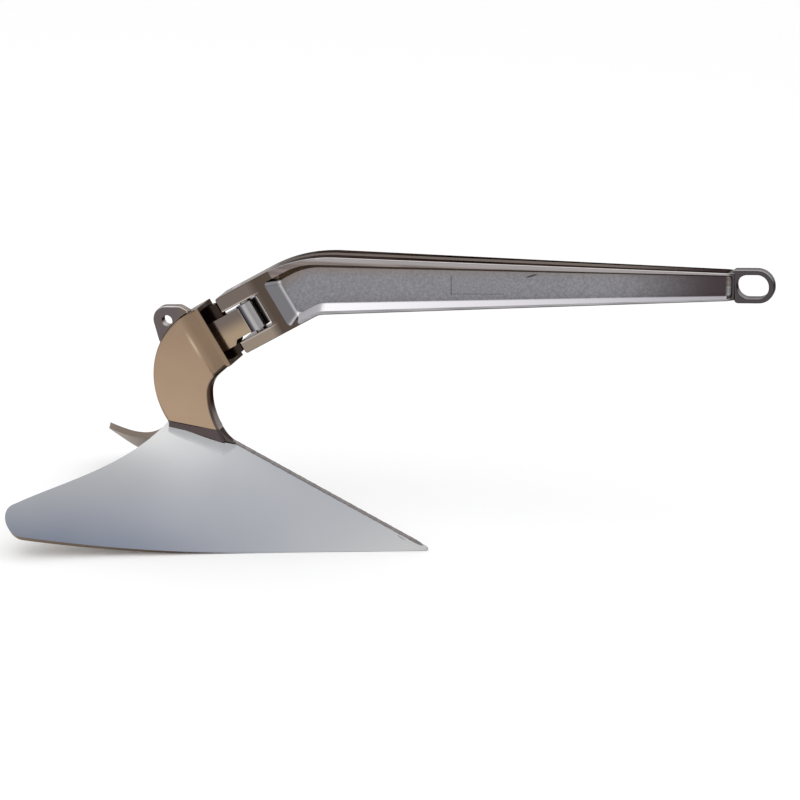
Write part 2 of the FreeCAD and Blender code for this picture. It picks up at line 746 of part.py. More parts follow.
# Tongue and knuckle barrel, bored for the pin.
tongue = new_sketch(casting, "tongue_side", "fork side")
outline(tongue, [
    ("-flange_back - 1", "tongue_above", None),
    ("0", "tongue_above", None),
    ("0", "-barrel_length / 2 + 1", None),
    ("-arm_back - 5", "-barrel_length / 2 + 1", "corner_radius"),
    ("-arm_back - 10", "-tongue_below", "corner_radius"),
    ("-flange_back - 1", "-tongue_below", None),
])
swept_both_ways(casting, "Pad", "tongue", tongue, "tongue_thick")
barrel = new_sketch(casting, "barrel_section", "fork plan")
circle(barrel, "0", "0", "barrel_radius")
swept_both_ways(casting, "Pad", "barrel", barrel, "barrel_length")
knuckle_bore = new_sketch(casting, "barrel_bore", "fork plan")
circle(knuckle_bore, "0", "0", "pin_radius + pin_clearance")
swept_both_ways(casting, "Pocket", "barrel_bore_cut", knuckle_bore, "2 * barrel_length")

# Tripping eye: a round lug behind the neck's top, with a plain hole.
lug = new_sketch(casting, "lug_side", "plough side")
LUG_X = "(-pin_back - lug_behind)"
LUG_Z = "(pin_height - lug_drop)"
LUG_REAR = around(LUG_X, LUG_Z, "lug_radius", "lug_rear_angle", "lug_top_angle")
LUG_FRONT = around(LUG_X + " + lug_shoulder_ahead", LUG_Z + " + lug_shoulder_rise", "lug_shoulder_radius",
                   "lug_top_angle", "lug_front_angle")
outline(lug, [
    ("%s - 3.6 * lug_radius * cos(lug_rear_angle)" % LUG_REAR[0],
     "%s - 3.6 * lug_radius * sin(lug_rear_angle)" % LUG_REAR[1], None),
    (*LUG_REAR, "lug_radius"),
    (*LUG_FRONT, "lug_shoulder_radius"),
    ("%s + 2.2 * lug_shoulder_radius * cos(lug_front_angle)" % LUG_FRONT[0],
     "%s + 2.2 * lug_shoulder_radius * sin(lug_front_angle)" % LUG_FRONT[1], None),
])
swept_both_ways(casting, "Pad", "lug", lug, "lug_thick")


def on_lug_rim(edge):
    """Edges round the lug's two flat faces."""
    return all(abs(abs(p.y) - value("lug_thick / 2")) < 1e-3 for p in samples(edge))


rounded(casting, "lug_rounding", "lug_round", on_lug_rim)
lug_hole = new_sketch(casting, "lug_hole", "plough side")
circle(lug_hole, LUG_X, LUG_Z, "lug_hole_radius")
swept_both_ways(casting, "Pocket", "lug_hole_cut", lug_hole, "2 * lug_thick")

# A web across the flange, which stops just short of the arms' sweep.
root_web = new_sketch(casting, "root_web_side", "fork side")
WEB_FRONT = "(-sqrt(arm_back ^ 2 + (head_width / 2) ^ 2) - swing_gap)"
outline(root_web, [
    ("-flange_back - 1", "root_web_half_height", None),
    (WEB_FRONT, "root_web_half_height - corner_radius", "corner_radius"),
    (WEB_FRONT, "-root_web_half_height + corner_radius", "corner_radius"),
    ("-flange_back - 1", "-root_web_half_height", None),
])
swept_both_ways(casting, "Pad", "root_web", root_web, "root_web_thick")

# Foot: a boat-shaped pad that spreads the neck over the ridge.
foot = new_body("horn_foot")
foot_side = new_sketch(foot, "foot_side", "plough side")
TOE_TOP = "(foot_front_height + foot_width / 4)"
outline(foot_side, [
    ("-foot_rear_back", "web_low", None),
    ("-foot_rear_back", "foot_rear_height", "corner_radius"),
    ("-foot_front_back", "foot_front_height", None),
    ("%s + (%s - %s) / tan(shin_angle)" % (NECK_FRONT, SHIN, TOE_TOP), TOE_TOP, None),
    (*meet(NECK_FRONT, SHIN, "(-shin_angle)", "0", "nose_height - 1", "(-ridge_angle)"), "foot_toe_radius"),
    ("-foot_toe_back", "nose_height - 1 + foot_toe_back * tan(ridge_angle)", None),
    ("-foot_toe_back", "web_low", None),
])
swept_both_ways(foot, "Pad", "foot_blank", foot_side, "foot_width")
foot_plan = new_sketch(foot, "foot_plan", "plough plan")
for sign in ("", "-"):
    outline(foot_plan, [
        ("-foot_shoulder_back - foot_width", sign + "foot_width / 2", None),
        ("-foot_shoulder_back", sign + "foot_width / 2", "foot_plan_radius"),
        ("-foot_toe_back", sign + "foot_toe_width / 2", None),
        ("-foot_toe_back + 1", sign + "foot_toe_width / 2", None),
        ("-foot_toe_back + 1", sign + "foot_width", None),
        ("-foot_shoulder_back - foot_width", sign + "foot_width", None),
    ])
swept_both_ways(foot, "Pocket", "foot_trim", foot_plan, "4 * pin_height")

# Root web of the horn, inside the plough.
web = new_body("horn_web")
web_side = new_sketch(web, "web_side", "plough side")
outline(web_side, [
    ("-web_rear_back", "foot_rear_height + foot_width", None),
    ("-web_front_back", "foot_rear_height + foot_width", None),
    ("-web_front_back", "web_low", "corner_radius"),
    ("(-web_front_back - web_rear_back) / 2", "web_low", "foot_plan_radius"),
    ("-web_rear_back", "(web_low + foot_rear_height) / 2", None),
])
swept_both_ways(web, "Pad", "web_plate", web_side, "web_thick")

# The flukes' outer surfaces carried across the ridge: the horn sits on this.
zone = Part.makeBox(value("2 * web_rear_back - toe_back"), value("4 * foot_width"), value("2 * pin_height"),
                    Vector(value("-2 * web_rear_back"), 0, value("-pin_height / 2")))
seat_half = below(0).common(zone)
seat = code_piece("fluke_seat", seat_half.fuse(mirrored(seat_half)))
above = doc.addObject("Part::MultiFuse", "horn_above")
above.Shapes = [casting, foot]
trimmed = doc.addObject("Part::Cut", "horn_trimmed")
trimmed.Base = above
trimmed.Tool = seat
root = doc.addObject("Part::Common", "horn_root")
root.Base = web
root.Tool = seat
horn = doc.addObject("Part::MultiFuse", "horn")
horn.Label = "horn"
horn.Shapes = [trimmed, root]
horn.Refine = True
doc.recompute()

PIECES = [shank, hinge_pin, horn, port, starboard, toe_weight]
for item in doc.Objects:
    if "Invalid" in item.State or "Error" in item.State:
        raise RuntimeError("%s failed: %s" % (item.Name, item.State))
for piece in PIECES:
    if piece.Shape.isNull() or not piece.Shape.isValid() or len(piece.Shape.Solids) != 1:
        raise RuntimeError("%s is not one sound solid" % piece.Label)

os.makedirs("parts", exist_ok=True)
for piece in PIECES:
    piece.Shape.exportStep("parts/%s.step" % piece.Label)
    box = piece.Shape.optimalBoundingBox()
    print("%-16s volume %9.0f  x %8.2f %8.2f  y %8.2f %8.2f  z %7.2f %7.2f" % (
        piece.Label, piece.Shape.Volume, box.XMin, box.XMax, box.YMin, box.YMax, box.ZMin, box.ZMax))
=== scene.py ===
# %% [markdown]
# # Hinged plough anchor
# The anchor is cast and pressed stainless steel: two curved plates welded along a
# ridge, a cast horn that stands on the ridge, and a cast shank of I section that
# swings on a pin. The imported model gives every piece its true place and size, so
# this script only dresses it: plates with softened edges, the welds that join them,
# and the finishes of polished, satin and as-cast steel.

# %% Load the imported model
import json
import math

import bpy
import numpy as np
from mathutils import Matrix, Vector


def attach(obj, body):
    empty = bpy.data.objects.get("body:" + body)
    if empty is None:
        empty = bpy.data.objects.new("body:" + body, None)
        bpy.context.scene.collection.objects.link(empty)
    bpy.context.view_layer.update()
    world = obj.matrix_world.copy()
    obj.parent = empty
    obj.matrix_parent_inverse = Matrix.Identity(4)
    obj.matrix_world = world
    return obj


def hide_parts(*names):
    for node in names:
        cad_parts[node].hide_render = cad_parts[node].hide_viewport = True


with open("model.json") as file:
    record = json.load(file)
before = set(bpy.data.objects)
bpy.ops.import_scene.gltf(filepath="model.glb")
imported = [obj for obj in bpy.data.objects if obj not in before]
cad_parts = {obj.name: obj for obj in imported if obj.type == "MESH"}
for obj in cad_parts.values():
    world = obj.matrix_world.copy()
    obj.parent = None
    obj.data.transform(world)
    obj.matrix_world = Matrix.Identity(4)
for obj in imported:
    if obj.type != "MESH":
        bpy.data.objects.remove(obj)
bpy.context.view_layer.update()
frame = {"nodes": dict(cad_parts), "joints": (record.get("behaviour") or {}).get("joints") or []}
nodes = frame["nodes"]
print("pieces in the frame:", sorted(nodes))

# %% [markdown]
# ## Camera
# A short lens close by would swell the near wing. A long lens from well back flattens
# the shapes, as in a catalogue picture. The camera stands beside the anchor's right
# side, a little in front and above. Two angles, a distance and a point to aim at are
# easier to correct than a place and a turn, so the place is worked out from them.

# %% Camera
AZIMUTH = math.radians(18.2)
ELEVATION = math.radians(19.2)
DISTANCE = 5.0
AIM = Vector((-0.02095, 0.0498, 0.1840))
towards = Vector((math.sin(AZIMUTH) * math.cos(ELEVATION), -math.cos(AZIMUTH) * math.cos(ELEVATION),
                  math.sin(ELEVATION)))
camera = bpy.data.objects.new("camera", bpy.data.cameras.new("camera"))
camera.data.lens = 173.07
camera.data.sensor_width = 36.0
camera.data.clip_end = 60.0
camera.location = AIM + towards * DISTANCE
camera.rotation_mode = "QUATERNION"
camera.rotation_quaternion = (-towards).to_track_quat("-Z", "Y")
bpy.context.scene.collection.objects.link(camera)
bpy.context.scene.camera = camera
print("camera at", [round(c, 3) for c in camera.location])

# %% [markdown]
# ## Shape of the plates
# Each fluke is a pressed plate. It could be a bent box or be carved by hand, but three
# curves say all that a press does to it, and formulas keep both sides alike. Every
# point of the outer face has a distance `back` behind the anchor's point and a `part`
# of the way from the ridge (0) to the lower edge (1). The curves are the ridge, the
# lower edge and the half width of the plan. All lengths are in metres.

# %% Curves of the plough
POINT_X = 0.03261
POINT_HEIGHT = 0.005
POINT_HALF_WIDTH = 0.003
LENGTH = 0.5142
RIDGE_SLOPE = math.tan(math.radians(23.75))
REAR_SLOPE = math.tan(math.radians(11.3))
RIDGE_BEND = 0.271
RIDGE_RADIUS = 0.260
LIFT_START = 0.1905
LIFT_RADIUS = 1.396
WEDGE = math.tan(math.radians(20.0))
FLARE_START = 0.120
FLARE_RADIUS = 4.060


def ridge_height(back):
    """A straight climb at 23.75 degrees that eases off in an arc to 11.3 degrees."""
    past = np.maximum(0.0, back - RIDGE_BEND)
    eased = np.minimum(past, (RIDGE_SLOPE - REAR_SLOPE) * RIDGE_RADIUS)
    arc = RIDGE_SLOPE * eased - eased ** 2 / (2 * RIDGE_RADIUS)
    return POINT_HEIGHT + RIDGE_SLOPE * (back - past) + arc + REAR_SLOPE * (past - eased)


def edge_height(back):
    """On the ground forward, then up: the square of what is past the start over twice the radius."""
    return np.maximum(0.0, back - LIFT_START) ** 2 / (2 * LIFT_RADIUS)


def half_width(back):
    """A wedge of 20 degrees, flared by the square of what is past the start over twice the radius."""
    return POINT_HALF_WIDTH + back * WEDGE + np.maximum(0.0, back - FLARE_START) ** 2 / (2 * FLARE_RADIUS)


print("ridge at the horn's foot: %.1f mm" % (1000 * float(ridge_height(np.array(0.353)))))

# %% [markdown]
# Between ridge and lower edge the section isn't straight: the press leaves it slightly
# hollow, and that is what makes the light sweep across the plate.

# %% Outer face
HOLLOW = 1.32


def outer_face(back, part):
    """Points of the outer face on the side where y is positive.

    The height falls in a straight line from ridge to edge, less a hollow that is
    deepest a quarter of the way down and grows with the square of back.
    """
    low = edge_height(back)
    high = ridge_height(back)
    hollow = HOLLOW * (back / LENGTH) ** 2 * part * np.maximum(0.0, 1 - part) ** 3
    return np.stack([POINT_X - back, part * half_width(back), low + (high - low) * (1 - part - hollow)], -1)


quarter = outer_face(np.array(0.3), np.array(0.25))
print("a point a quarter of the way down:", [round(1000 * float(c), 1) for c in quarter], "mm")

# %% [markdown]
# The rear end of each plate is a sweeping trailing edge and a rounded tip. They could
# be cut from a longer plate, but a cut leaves ragged faces. Both are curves in the
# plan, so the script walks along them and gives every column of the plate's grid its
# own length.

# %% Rear outline of a plate
TIP_RADIUS = 0.019
TIP_START = math.radians(-36.0)
TRAIL_Y = [0.0, 0.050, 0.100, 0.150]
TRAIL_BACK = [0.350, 0.4013, 0.4504, 0.4957]


def rear_outline():
    """Plan points (back, y) of the trailing edge and of the tip's arc, from ridge to lower edge.

    The trailing edge is the polynomial of fourth degree through four stations and the
    arc's start. The arc's centre lies one radius inside both the rear end and the
    flared side.
    """
    centre = LENGTH - TIP_RADIUS
    turn = math.atan(WEDGE + (centre - FLARE_START) / FLARE_RADIUS)
    middle = half_width(np.array(centre)) - TIP_RADIUS / math.cos(turn)
    arc = np.linspace(TIP_START, math.pi / 2 + turn, 22)
    arc_back = centre + TIP_RADIUS * np.cos(arc)
    arc_y = middle + TIP_RADIUS * np.sin(arc)
    trail = np.polynomial.Polynomial.fit(TRAIL_Y + [arc_y[0]], TRAIL_BACK + [arc_back[0]], 4)
    trail_y = np.linspace(0.0, arc_y[0], 64)[:-1]
    return np.concatenate([trail(trail_y), arc_back]), np.concatenate([trail_y, arc_y])


rear_back, rear_y = rear_outline()
print("rear outline: %d points, widest at %.1f mm" % (len(rear_y), 1000 * rear_y.max()))

# %% [markdown]
# ## From points to a piece
# Every new piece is made in the same way: an array of points, lists of corners that
# join them into faces, and an angle past which an edge stays crisp. The object stays
# at the origin, unturned, so that patterns measured on it line up with the packed
# pieces.

# %% Helpers for meshes


def grid_faces(index, flip):
    """Quads between the neighbours of a grid of point numbers."""
    quads = np.stack([index[:-1, :-1], index[1:, :-1], index[1:, 1:], index[:-1, 1:]], -1).reshape(-1, 4)
    return quads[:, ::-1] if flip else quads


def new_piece(name, points, faces, crisp):
    """An object at the origin from points and faces, shaded smooth but for edges over crisp degrees."""
    mesh = bpy.data.meshes.new(name)
    mesh.from_pydata(points.tolist(), [], faces)
    mesh.validate()
    mesh.shade_smooth()
    mesh.set_sharp_from_angle(angle=math.radians(crisp))
    piece = bpy.data.objects.new(name, mesh)
    bpy.context.scene.collection.objects.link(piece)
    return piece


print("a grid of 3 by 4 points has", len(grid_faces(np.arange(12).reshape(3, 4), False)), "quads")

# %% [markdown]
# ## Plates
# The plate is 8 mm thick. A Solidify modifier could thicken the outer face, but it
# would push the ridge past the middle and the lower edge under the ground. So the
# inner face is worked out too, one plate's thickness inside the outer one. Where it
# would cross the ridge plane it is held on that plane, which makes the mitre that the
# weld closes, and where it would sink under the ground it is held on the ground. The
# rear end is cut upright, so the inner face stops short where it would reach past it.

# %% Shape of a plate
PLATE = 0.008


def plate(name, side):
    """A closed plate: outer grid, inner grid and the rim between them; side is -1 or 1.

    The inner point is the outer point less the thickness times the face's normal, and
    the normal is the cross product of the steps along the two parameters.
    """
    rows, columns = 120, len(rear_back)
    part = np.tile(rear_y / half_width(rear_back), (rows, 1))
    back = np.linspace(0.0, 1.0, rows)[:, None] * rear_back
    outer = outer_face(back, part)
    step = 1e-4
    normal = np.cross(outer_face(back + step, part) - outer, outer_face(back, part + step) - outer)
    normal /= np.linalg.norm(normal, axis=-1, keepdims=True)
    normal *= np.sign(normal[..., 2:])
    inner = outer - normal * PLATE
    over = (inner[-2, :, 0] - outer[-1, :, 0]) / (inner[-2, :, 0] - inner[-1, :, 0])
    inner[-1] = inner[-2] + np.clip(over, 0.0, 1.0)[:, None] * (inner[-1] - inner[-2])
    inner[..., 1:] = np.maximum(inner[..., 1:], 0.0)
    points = np.concatenate([outer.reshape(-1, 3), inner.reshape(-1, 3)])
    points[:, 1] *= side
    grid = np.arange(rows * columns).reshape(rows, columns)
    loop = np.concatenate([grid[0, :-1], grid[:-1, -1], grid[-1, :0:-1], grid[:0:-1, 0]])
    below = loop + rows * columns
    rim = np.stack([loop, np.roll(loop, -1), np.roll(below, -1), below], -1)
    turned = side > 0
    faces = np.concatenate([grid_faces(grid, turned), grid_faces(grid + rows * columns, not turned),
                            rim if turned else rim[:, ::-1]])
    return new_piece(name, points, faces.tolist(), 35)


print("plate thickness: %.0f mm" % (1000 * PLATE))

# %% [markdown]
# A sheared and dressed edge is never sharp. A Bevel modifier rounds the rim by a
# little over a millimetre, and its hardened normals keep the wide faces flat. Each
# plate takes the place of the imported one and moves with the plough.

# %% Both plates
plates = {}
for name, side in (("fluke_port", 1), ("fluke_starboard", -1)):
    plates[name] = plate(name + "_plate", side)
    soft = plates[name].modifiers.new("softened edges", "BEVEL")
    soft.width = 0.0012
    soft.segments = 3
    soft.limit_method = "ANGLE"
    soft.angle_limit = math.radians(50)
    soft.harden_normals = True
    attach(plates[name], "plough")
    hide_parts(name)
    print(plates[name].name, len(plates[name].data.polygons), "faces")

# %% [markdown]
# ## Weld on the ridge
# A bead runs down the ridge from the horn's toe to the point. It has been ground
# almost flush, so it shows as a thin rounded crest. A curve with a round bevel would
# be too even, so rings of points follow the ridge and their radius changes slowly.

# %% Ridge bead
BEAD_START = 0.004
BEAD_END = 0.268
BEAD_RADIUS = 0.0026
BEAD_SINK = 0.0022
BEAD_TAPER = 0.012


def ridge_bead(name):
    """A closed tube half sunk in the ridge.

    Each ring stands square to the ridge. Its radius swells and shrinks in two slow sine
    waves and tapers towards the point, and a fan of triangles closes each end.
    """
    back = np.linspace(BEAD_START, BEAD_END, 150)
    turn = np.linspace(0.0, 2 * math.pi, 16, endpoint=False)
    radius = BEAD_RADIUS + 0.00012 * np.sin(back * 900.0) + 0.0001 * np.sin(back * 371.0)
    radius = radius * np.minimum(1.0, 0.35 + (back - BEAD_START) / BEAD_TAPER)
    centre = ridge_height(back) - BEAD_SINK
    slope = np.gradient(centre, back)
    lean = 1 / np.hypot(1.0, slope)
    x = (POINT_X - back)[:, None] + radius[:, None] * np.cos(turn) * (slope * lean)[:, None]
    y = radius[:, None] * np.sin(turn)
    z = centre[:, None] + radius[:, None] * np.cos(turn) * lean[:, None]
    rings = np.stack([x, y, np.maximum(z, 0.0)], -1)
    points = np.concatenate([rings.reshape(-1, 3), rings[:1].mean(1), rings[-1:].mean(1)])
    index = np.arange(x.size).reshape(x.shape)
    beside = np.roll(index, -1, axis=1)
    quads = np.stack([index[:-1], beside[:-1], beside[1:], index[1:]], -1).reshape(-1, 4)
    middle = np.full(len(turn), x.size)
    front_fan = np.stack([middle, beside[0], index[0]], -1)
    rear_fan = np.stack([middle + 1, index[-1], beside[-1]], -1)
    return new_piece(name, points, quads.tolist() + front_fan.tolist() + rear_fan.tolist(), 180)


bead = ridge_bead("ridge_weld")
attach(bead, "plough")
print("ridge weld:", len(bead.data.polygons), "faces")

# %% [markdown]
# ## Welds at the horn's foot
# The foot sits across the ridge, and a fillet of weld fills the corner between its
# side and the plate. It has been blended in with a wheel, so it is a smooth, slightly
# dished strip that narrows to nothing at the horn's toe. A bevel can't make it,
# because foot and plate are separate pieces that only touch. Seven stations from the
# foot's rear to its toe give its top, its start and its leg.

# %% Foot fillets
FOOT_BACK = np.array([0.353, 0.328, 0.302, 0.290, 0.278, 0.270, 0.262])
FOOT_SIDE = np.array([11.2, 11.3, 11.1, 10.8, 10.3, 7.0, 3.0]) / 1000
FOOT_LEG = np.array([4.5, 6.0, 7.0, 7.5, 7.5, 6.0, 3.0]) / 1000
FOOT_TOP = np.array([134.6, 131.7, 125.2, 122.4, 119.7, 118.4, 117.2]) / 1000
FILLET_BITE = 0.0004
FILLET_ROOT = 0.004
FILLET_DISH = 0.10


def foot_fillet(name, side):
    """A strip from the foot's side down to the plate, dished by a sine across its width.

    One more row of points inside the corner closes the strip into a solid.
    """
    back = np.linspace(FOOT_BACK[0], FOOT_BACK[-1], 60)
    top, near, leg = (np.interp(-back, -FOOT_BACK, row) for row in (FOOT_TOP, FOOT_SIDE, FOOT_LEG))
    low = outer_face(back, (near + leg) / half_width(back))[:, 2] - FILLET_BITE
    across = np.linspace(0.0, 1.0, 9)
    dish = FILLET_DISH * leg[:, None] * np.sin(math.pi * across)
    y = near[:, None] + leg[:, None] * across - dish
    z = top[:, None] + (low - top)[:, None] * across - dish
    face = np.stack([np.broadcast_to((POINT_X - back)[:, None], y.shape), side * y, z], -1)
    root = np.stack([POINT_X - back, side * (near - FILLET_ROOT), low - FILLET_ROOT], -1)[:, None]
    points = np.concatenate([face, root], 1)
    grid = np.arange(points.shape[0] * points.shape[1]).reshape(points.shape[:2])
    around = np.concatenate([grid, grid[:, :1]], 1)
    quads = np.stack([around[:-1, :-1], around[:-1, 1:], around[1:, 1:], around[1:, :-1]], -1).reshape(-1, 4)
    if side > 0:
        quads = quads[:, ::-1]
    ends = [grid[0, ::-side].tolist(), grid[-1, ::side].tolist()]
    return new_piece(name, points.reshape(-1, 3), quads.tolist() + ends, 50)


fillets = [foot_fillet("foot_weld_port", 1), foot_fillet("foot_weld_starboard", -1)]
for fillet in fillets:
    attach(fillet, "plough")
print("foot welds:", [len(fillet.data.polygons) for fillet in fillets], "faces")

# %% [markdown]
# ## Colours and nodes
# Colours are written as they look on a screen and turned to linear light once. One
# helper adds a shader node with its settings and its links, a second one starts a
# material, and a third one gives it to a piece in place of what the piece had.

# %% Helpers for colours and nodes


def colour(code):
    """A hex screen colour as linear red, green, blue and alpha.

    Each channel c above 0.04 becomes ((c + 0.055) / 1.055) to the power 2.4.
    """
    channels = [int(code[i:i + 2], 16) / 255 for i in (1, 3, 5)]
    return [c / 12.92 if c <= 0.04045 else ((c + 0.055) / 1.055) ** 2.4 for c in channels] + [1.0]


def add(tree, kind, links=None, **settings):
    """Add one node; links maps an input to a plain value or to another node's output."""
    node = tree.nodes.new(kind)
    for name, setting in settings.items():
        setattr(node, name, setting)
    for name, source in (links or {}).items():
        if isinstance(source, bpy.types.NodeSocket):
            tree.links.new(source, node.inputs[name])
        else:
            node.inputs[name].default_value = source
    return node


def new_material(name, metallic, roughness):
    """A material with nothing but its Principled shader; gives material, node tree and shader."""
    material = bpy.data.materials.new(name)
    material.use_nodes = True
    shader = material.node_tree.nodes["Principled BSDF"]
    shader.inputs["Metallic"].default_value = metallic
    shader.inputs["Roughness"].default_value = roughness
    return material, material.node_tree, shader


def dress(piece, material):
    """Give a piece one finish, in place of those it has."""
    piece.data.materials.clear()
    piece.data.materials.append(material)
    print(piece.name, "-", material.name, "-", len(material.node_tree.nodes), "nodes")


print("middle grey in linear light:", [round(c, 3) for c in colour("#808080")])

# %% [markdown]
# ## Measuring from the hinge
# The shank turns on a pin that leans back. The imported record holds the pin's middle
# and its direction. The finishes of horn and shank need two lengths from there: `fork`
# forwards along the fork, square to the pin, and `height` up along the pin. A painted
# mask could mark the same regions, but a measured one needs no picture and stays with
# the piece when the shank swings.

# %% Directions of the hinge
hinge = frame["joints"][0]
PIN = tuple(hinge["pos_m"])
PIN_WAY = tuple(hinge["axis"])
FORK_WAY = (PIN_WAY[2], 0.0, -PIN_WAY[0])


def measure(tree, source, way, start=(0.0, 0.0, 0.0)):
    """How far a point lies from start along the direction way: (source - start) dot way."""
    shift = add(tree, "ShaderNodeVectorMath", {0: source, 1: start}, operation="SUBTRACT")
    dot = add(tree, "ShaderNodeVectorMath", {0: shift.outputs[0], 1: way}, operation="DOT_PRODUCT")
    return dot.outputs["Value"]


print("pin at", PIN, "leaning back %.1f degrees" % math.degrees(math.atan2(-PIN_WAY[0], PIN_WAY[2])))

# %% [markdown]
# ## Horn: polished casting
# The horn is investment-cast stainless steel, polished on a wheel. What a polished
# casting shows is mostly its room. The room could be built round the anchor, but it
# would have to be right for every view. Here the tone follows the way each face looks
# instead: sides mirror warm, brown things near the ground, tops the pale sky, and
# faces that look forward or down mirror the dark. The edge tint keeps faces seen at a
# slant from whitening.

# %% Horn: which way a face looks
EDGE_TINT = (0.35, 0.33, 0.32, 1.0)
material, tree, shader = new_material("polished cast stainless steel", 1.0, 0.2)
shader.inputs["Specular Tint"].default_value = EDGE_TINT
coords = add(tree, "ShaderNodeTexCoord")
place, normal = coords.outputs["Object"], coords.outputs["Normal"]
look = add(tree, "ShaderNodeSeparateXYZ", {0: normal})
spot = add(tree, "ShaderNodeSeparateXYZ", {0: place})
depth = add(tree, "ShaderNodeMath", {0: spot.outputs["Y"]}, operation="ABSOLUTE")
facing = add(tree, "ShaderNodeMath", {0: look.outputs["Y"]}, operation="ABSOLUTE")
up = add(tree, "ShaderNodeMapRange", {"Value": look.outputs["Z"], "From Min": 0.10, "From Max": 0.75},
         interpolation_type="SMOOTHSTEP")
under = add(tree, "ShaderNodeMapRange", {"Value": look.outputs["Z"], "From Min": -0.15, "From Max": -0.75},
            interpolation_type="SMOOTHSTEP")
ahead = add(tree, "ShaderNodeMapRange", {"Value": look.outputs["X"], "From Min": 0.15, "From Max": 0.60},
            interpolation_type="SMOOTHSTEP")
dark = add(tree, "ShaderNodeMath", {0: under.outputs[0], 1: ahead.outputs[0]}, operation="MAXIMUM")
print("horn, ways to look:", len(tree.nodes), "nodes")

# %% [markdown]
# A polished casting is never quite flat, so the painted reflection on the sides drifts
# between two browns in slow patches, and it is lighter towards the foot. The tripping
# lug behind is thinner than the neck, which tells it apart. It has painted shade on
# its sides and a painted highlight on its rounded rim.

# %% Horn: sides, lug and tops
LUG_HALF = 0.0062
SIDES_DARK_HEIGHT = 0.30
SIDES_PALE_HEIGHT = 0.15
reflection_drift = add(tree, "ShaderNodeTexNoise", {"Vector": place, "Scale": 1000.0 / 45.0, "Detail": 3.0})
sweep = add(tree, "ShaderNodeMapRange", {"Value": spot.outputs["Z"], "From Min": SIDES_DARK_HEIGHT,
                                         "From Max": SIDES_PALE_HEIGHT})
tone = add(tree, "ShaderNodeMath", {0: reflection_drift.outputs[0], 1: 0.5, 2: -0.25}, operation="MULTIPLY_ADD")
tone = add(tree, "ShaderNodeMath", {0: sweep.outputs[0], 1: tone.outputs[0]}, operation="ADD", use_clamp=True)
sides = add(tree, "ShaderNodeMix", {0: tone.outputs[0], 6: colour("#937d68"), 7: colour("#a99079")},
            data_type="RGBA")
lug = add(tree, "ShaderNodeMath", {0: depth.outputs[0], 1: LUG_HALF}, operation="LESS_THAN")
sides = add(tree, "ShaderNodeMix", {0: lug.outputs[0], 6: sides.outputs[2], 7: colour("#625a5a")},
            data_type="RGBA")
tops = add(tree, "ShaderNodeMix", {0: lug.outputs[0], 6: colour("#a59b96"), 7: colour("#d0cac7")},
           data_type="RGBA")
lower = add(tree, "ShaderNodeMix", {0: dark.outputs[0], 6: sides.outputs[2], 7: colour("#453b36")},
            data_type="RGBA")
body = add(tree, "ShaderNodeMix", {0: up.outputs[0], 6: lower.outputs[2], 7: tops.outputs[2]},
           data_type="RGBA")
print("horn, sides and tops:", len(tree.nodes), "nodes")

# %% [markdown]
# The foot mirrors the plate it stands on, as a dark band with a straight upper edge.
# The band's top falls from the rear to the front, so one range turns x into height.

# %% Horn: band along the foot
BAND_REAR = (-0.3204, 0.1428)
BAND_FRONT = (-0.2480, 0.1366)
crest = add(tree, "ShaderNodeMapRange", {"Value": spot.outputs["X"], "From Min": BAND_REAR[0],
                                         "From Max": BAND_FRONT[0], "To Min": BAND_REAR[1],
                                         "To Max": BAND_FRONT[1]})
band = add(tree, "ShaderNodeMath", {0: spot.outputs["Z"], 1: crest.outputs[0]}, operation="LESS_THAN")
foot = add(tree, "ShaderNodeMix", {0: band.outputs[0], 6: body.outputs[2], 7: colour("#554b4b")},
           data_type="RGBA")
print("horn, foot:", len(tree.nodes), "nodes")

# %% [markdown]
# The neck flares into a flange for the fork. The flared flank turns away from the
# light and is darker, and a short gleam marks the crease where the flare starts. The
# gleam is brightest at its middle and fades to both ends.

# %% Horn: flank and crease
FLANK_START, FLANK_END = -0.0935, -0.0780
CREASE = -0.0925
CREASE_HALF = 0.0035
CREASE_MIDDLE = 0.002
GLEAM_FULL, GLEAM_END = 0.004, 0.021
fork = measure(tree, place, FORK_WAY, PIN)
height = measure(tree, place, PIN_WAY, PIN)
flare = add(tree, "ShaderNodeMapRange", {"Value": fork, "From Min": FLANK_START, "From Max": FLANK_END,
                                         "To Max": 0.55})
flank = add(tree, "ShaderNodeMix", {0: flare.outputs[0], 6: foot.outputs[2], 7: colour("#746250")},
            data_type="RGBA")
from_crease = add(tree, "ShaderNodeMath", {0: fork, 1: -CREASE}, operation="ADD")
from_crease = add(tree, "ShaderNodeMath", {0: from_crease.outputs[0]}, operation="ABSOLUTE")
crease = add(tree, "ShaderNodeMapRange", {"Value": from_crease.outputs[0], "From Min": CREASE_HALF,
                                          "From Max": 0.0}, interpolation_type="SMOOTHSTEP")
off_middle = add(tree, "ShaderNodeMath", {0: height, 1: -CREASE_MIDDLE}, operation="ADD")
off_middle = add(tree, "ShaderNodeMath", {0: off_middle.outputs[0]}, operation="ABSOLUTE")
reach = add(tree, "ShaderNodeMapRange", {"Value": off_middle.outputs[0], "From Min": GLEAM_END,
                                         "From Max": GLEAM_FULL, "To Max": 0.7})
crease = add(tree, "ShaderNodeMath", {0: crease.outputs[0], 1: reach.outputs[0]}, operation="MULTIPLY")
neck = add(tree, "ShaderNodeMix", {0: crease.outputs[0], 6: flank.outputs[2], 7: colour("#c9b8a2")},
           data_type="RGBA")
print("horn, neck:", len(tree.nodes), "nodes")
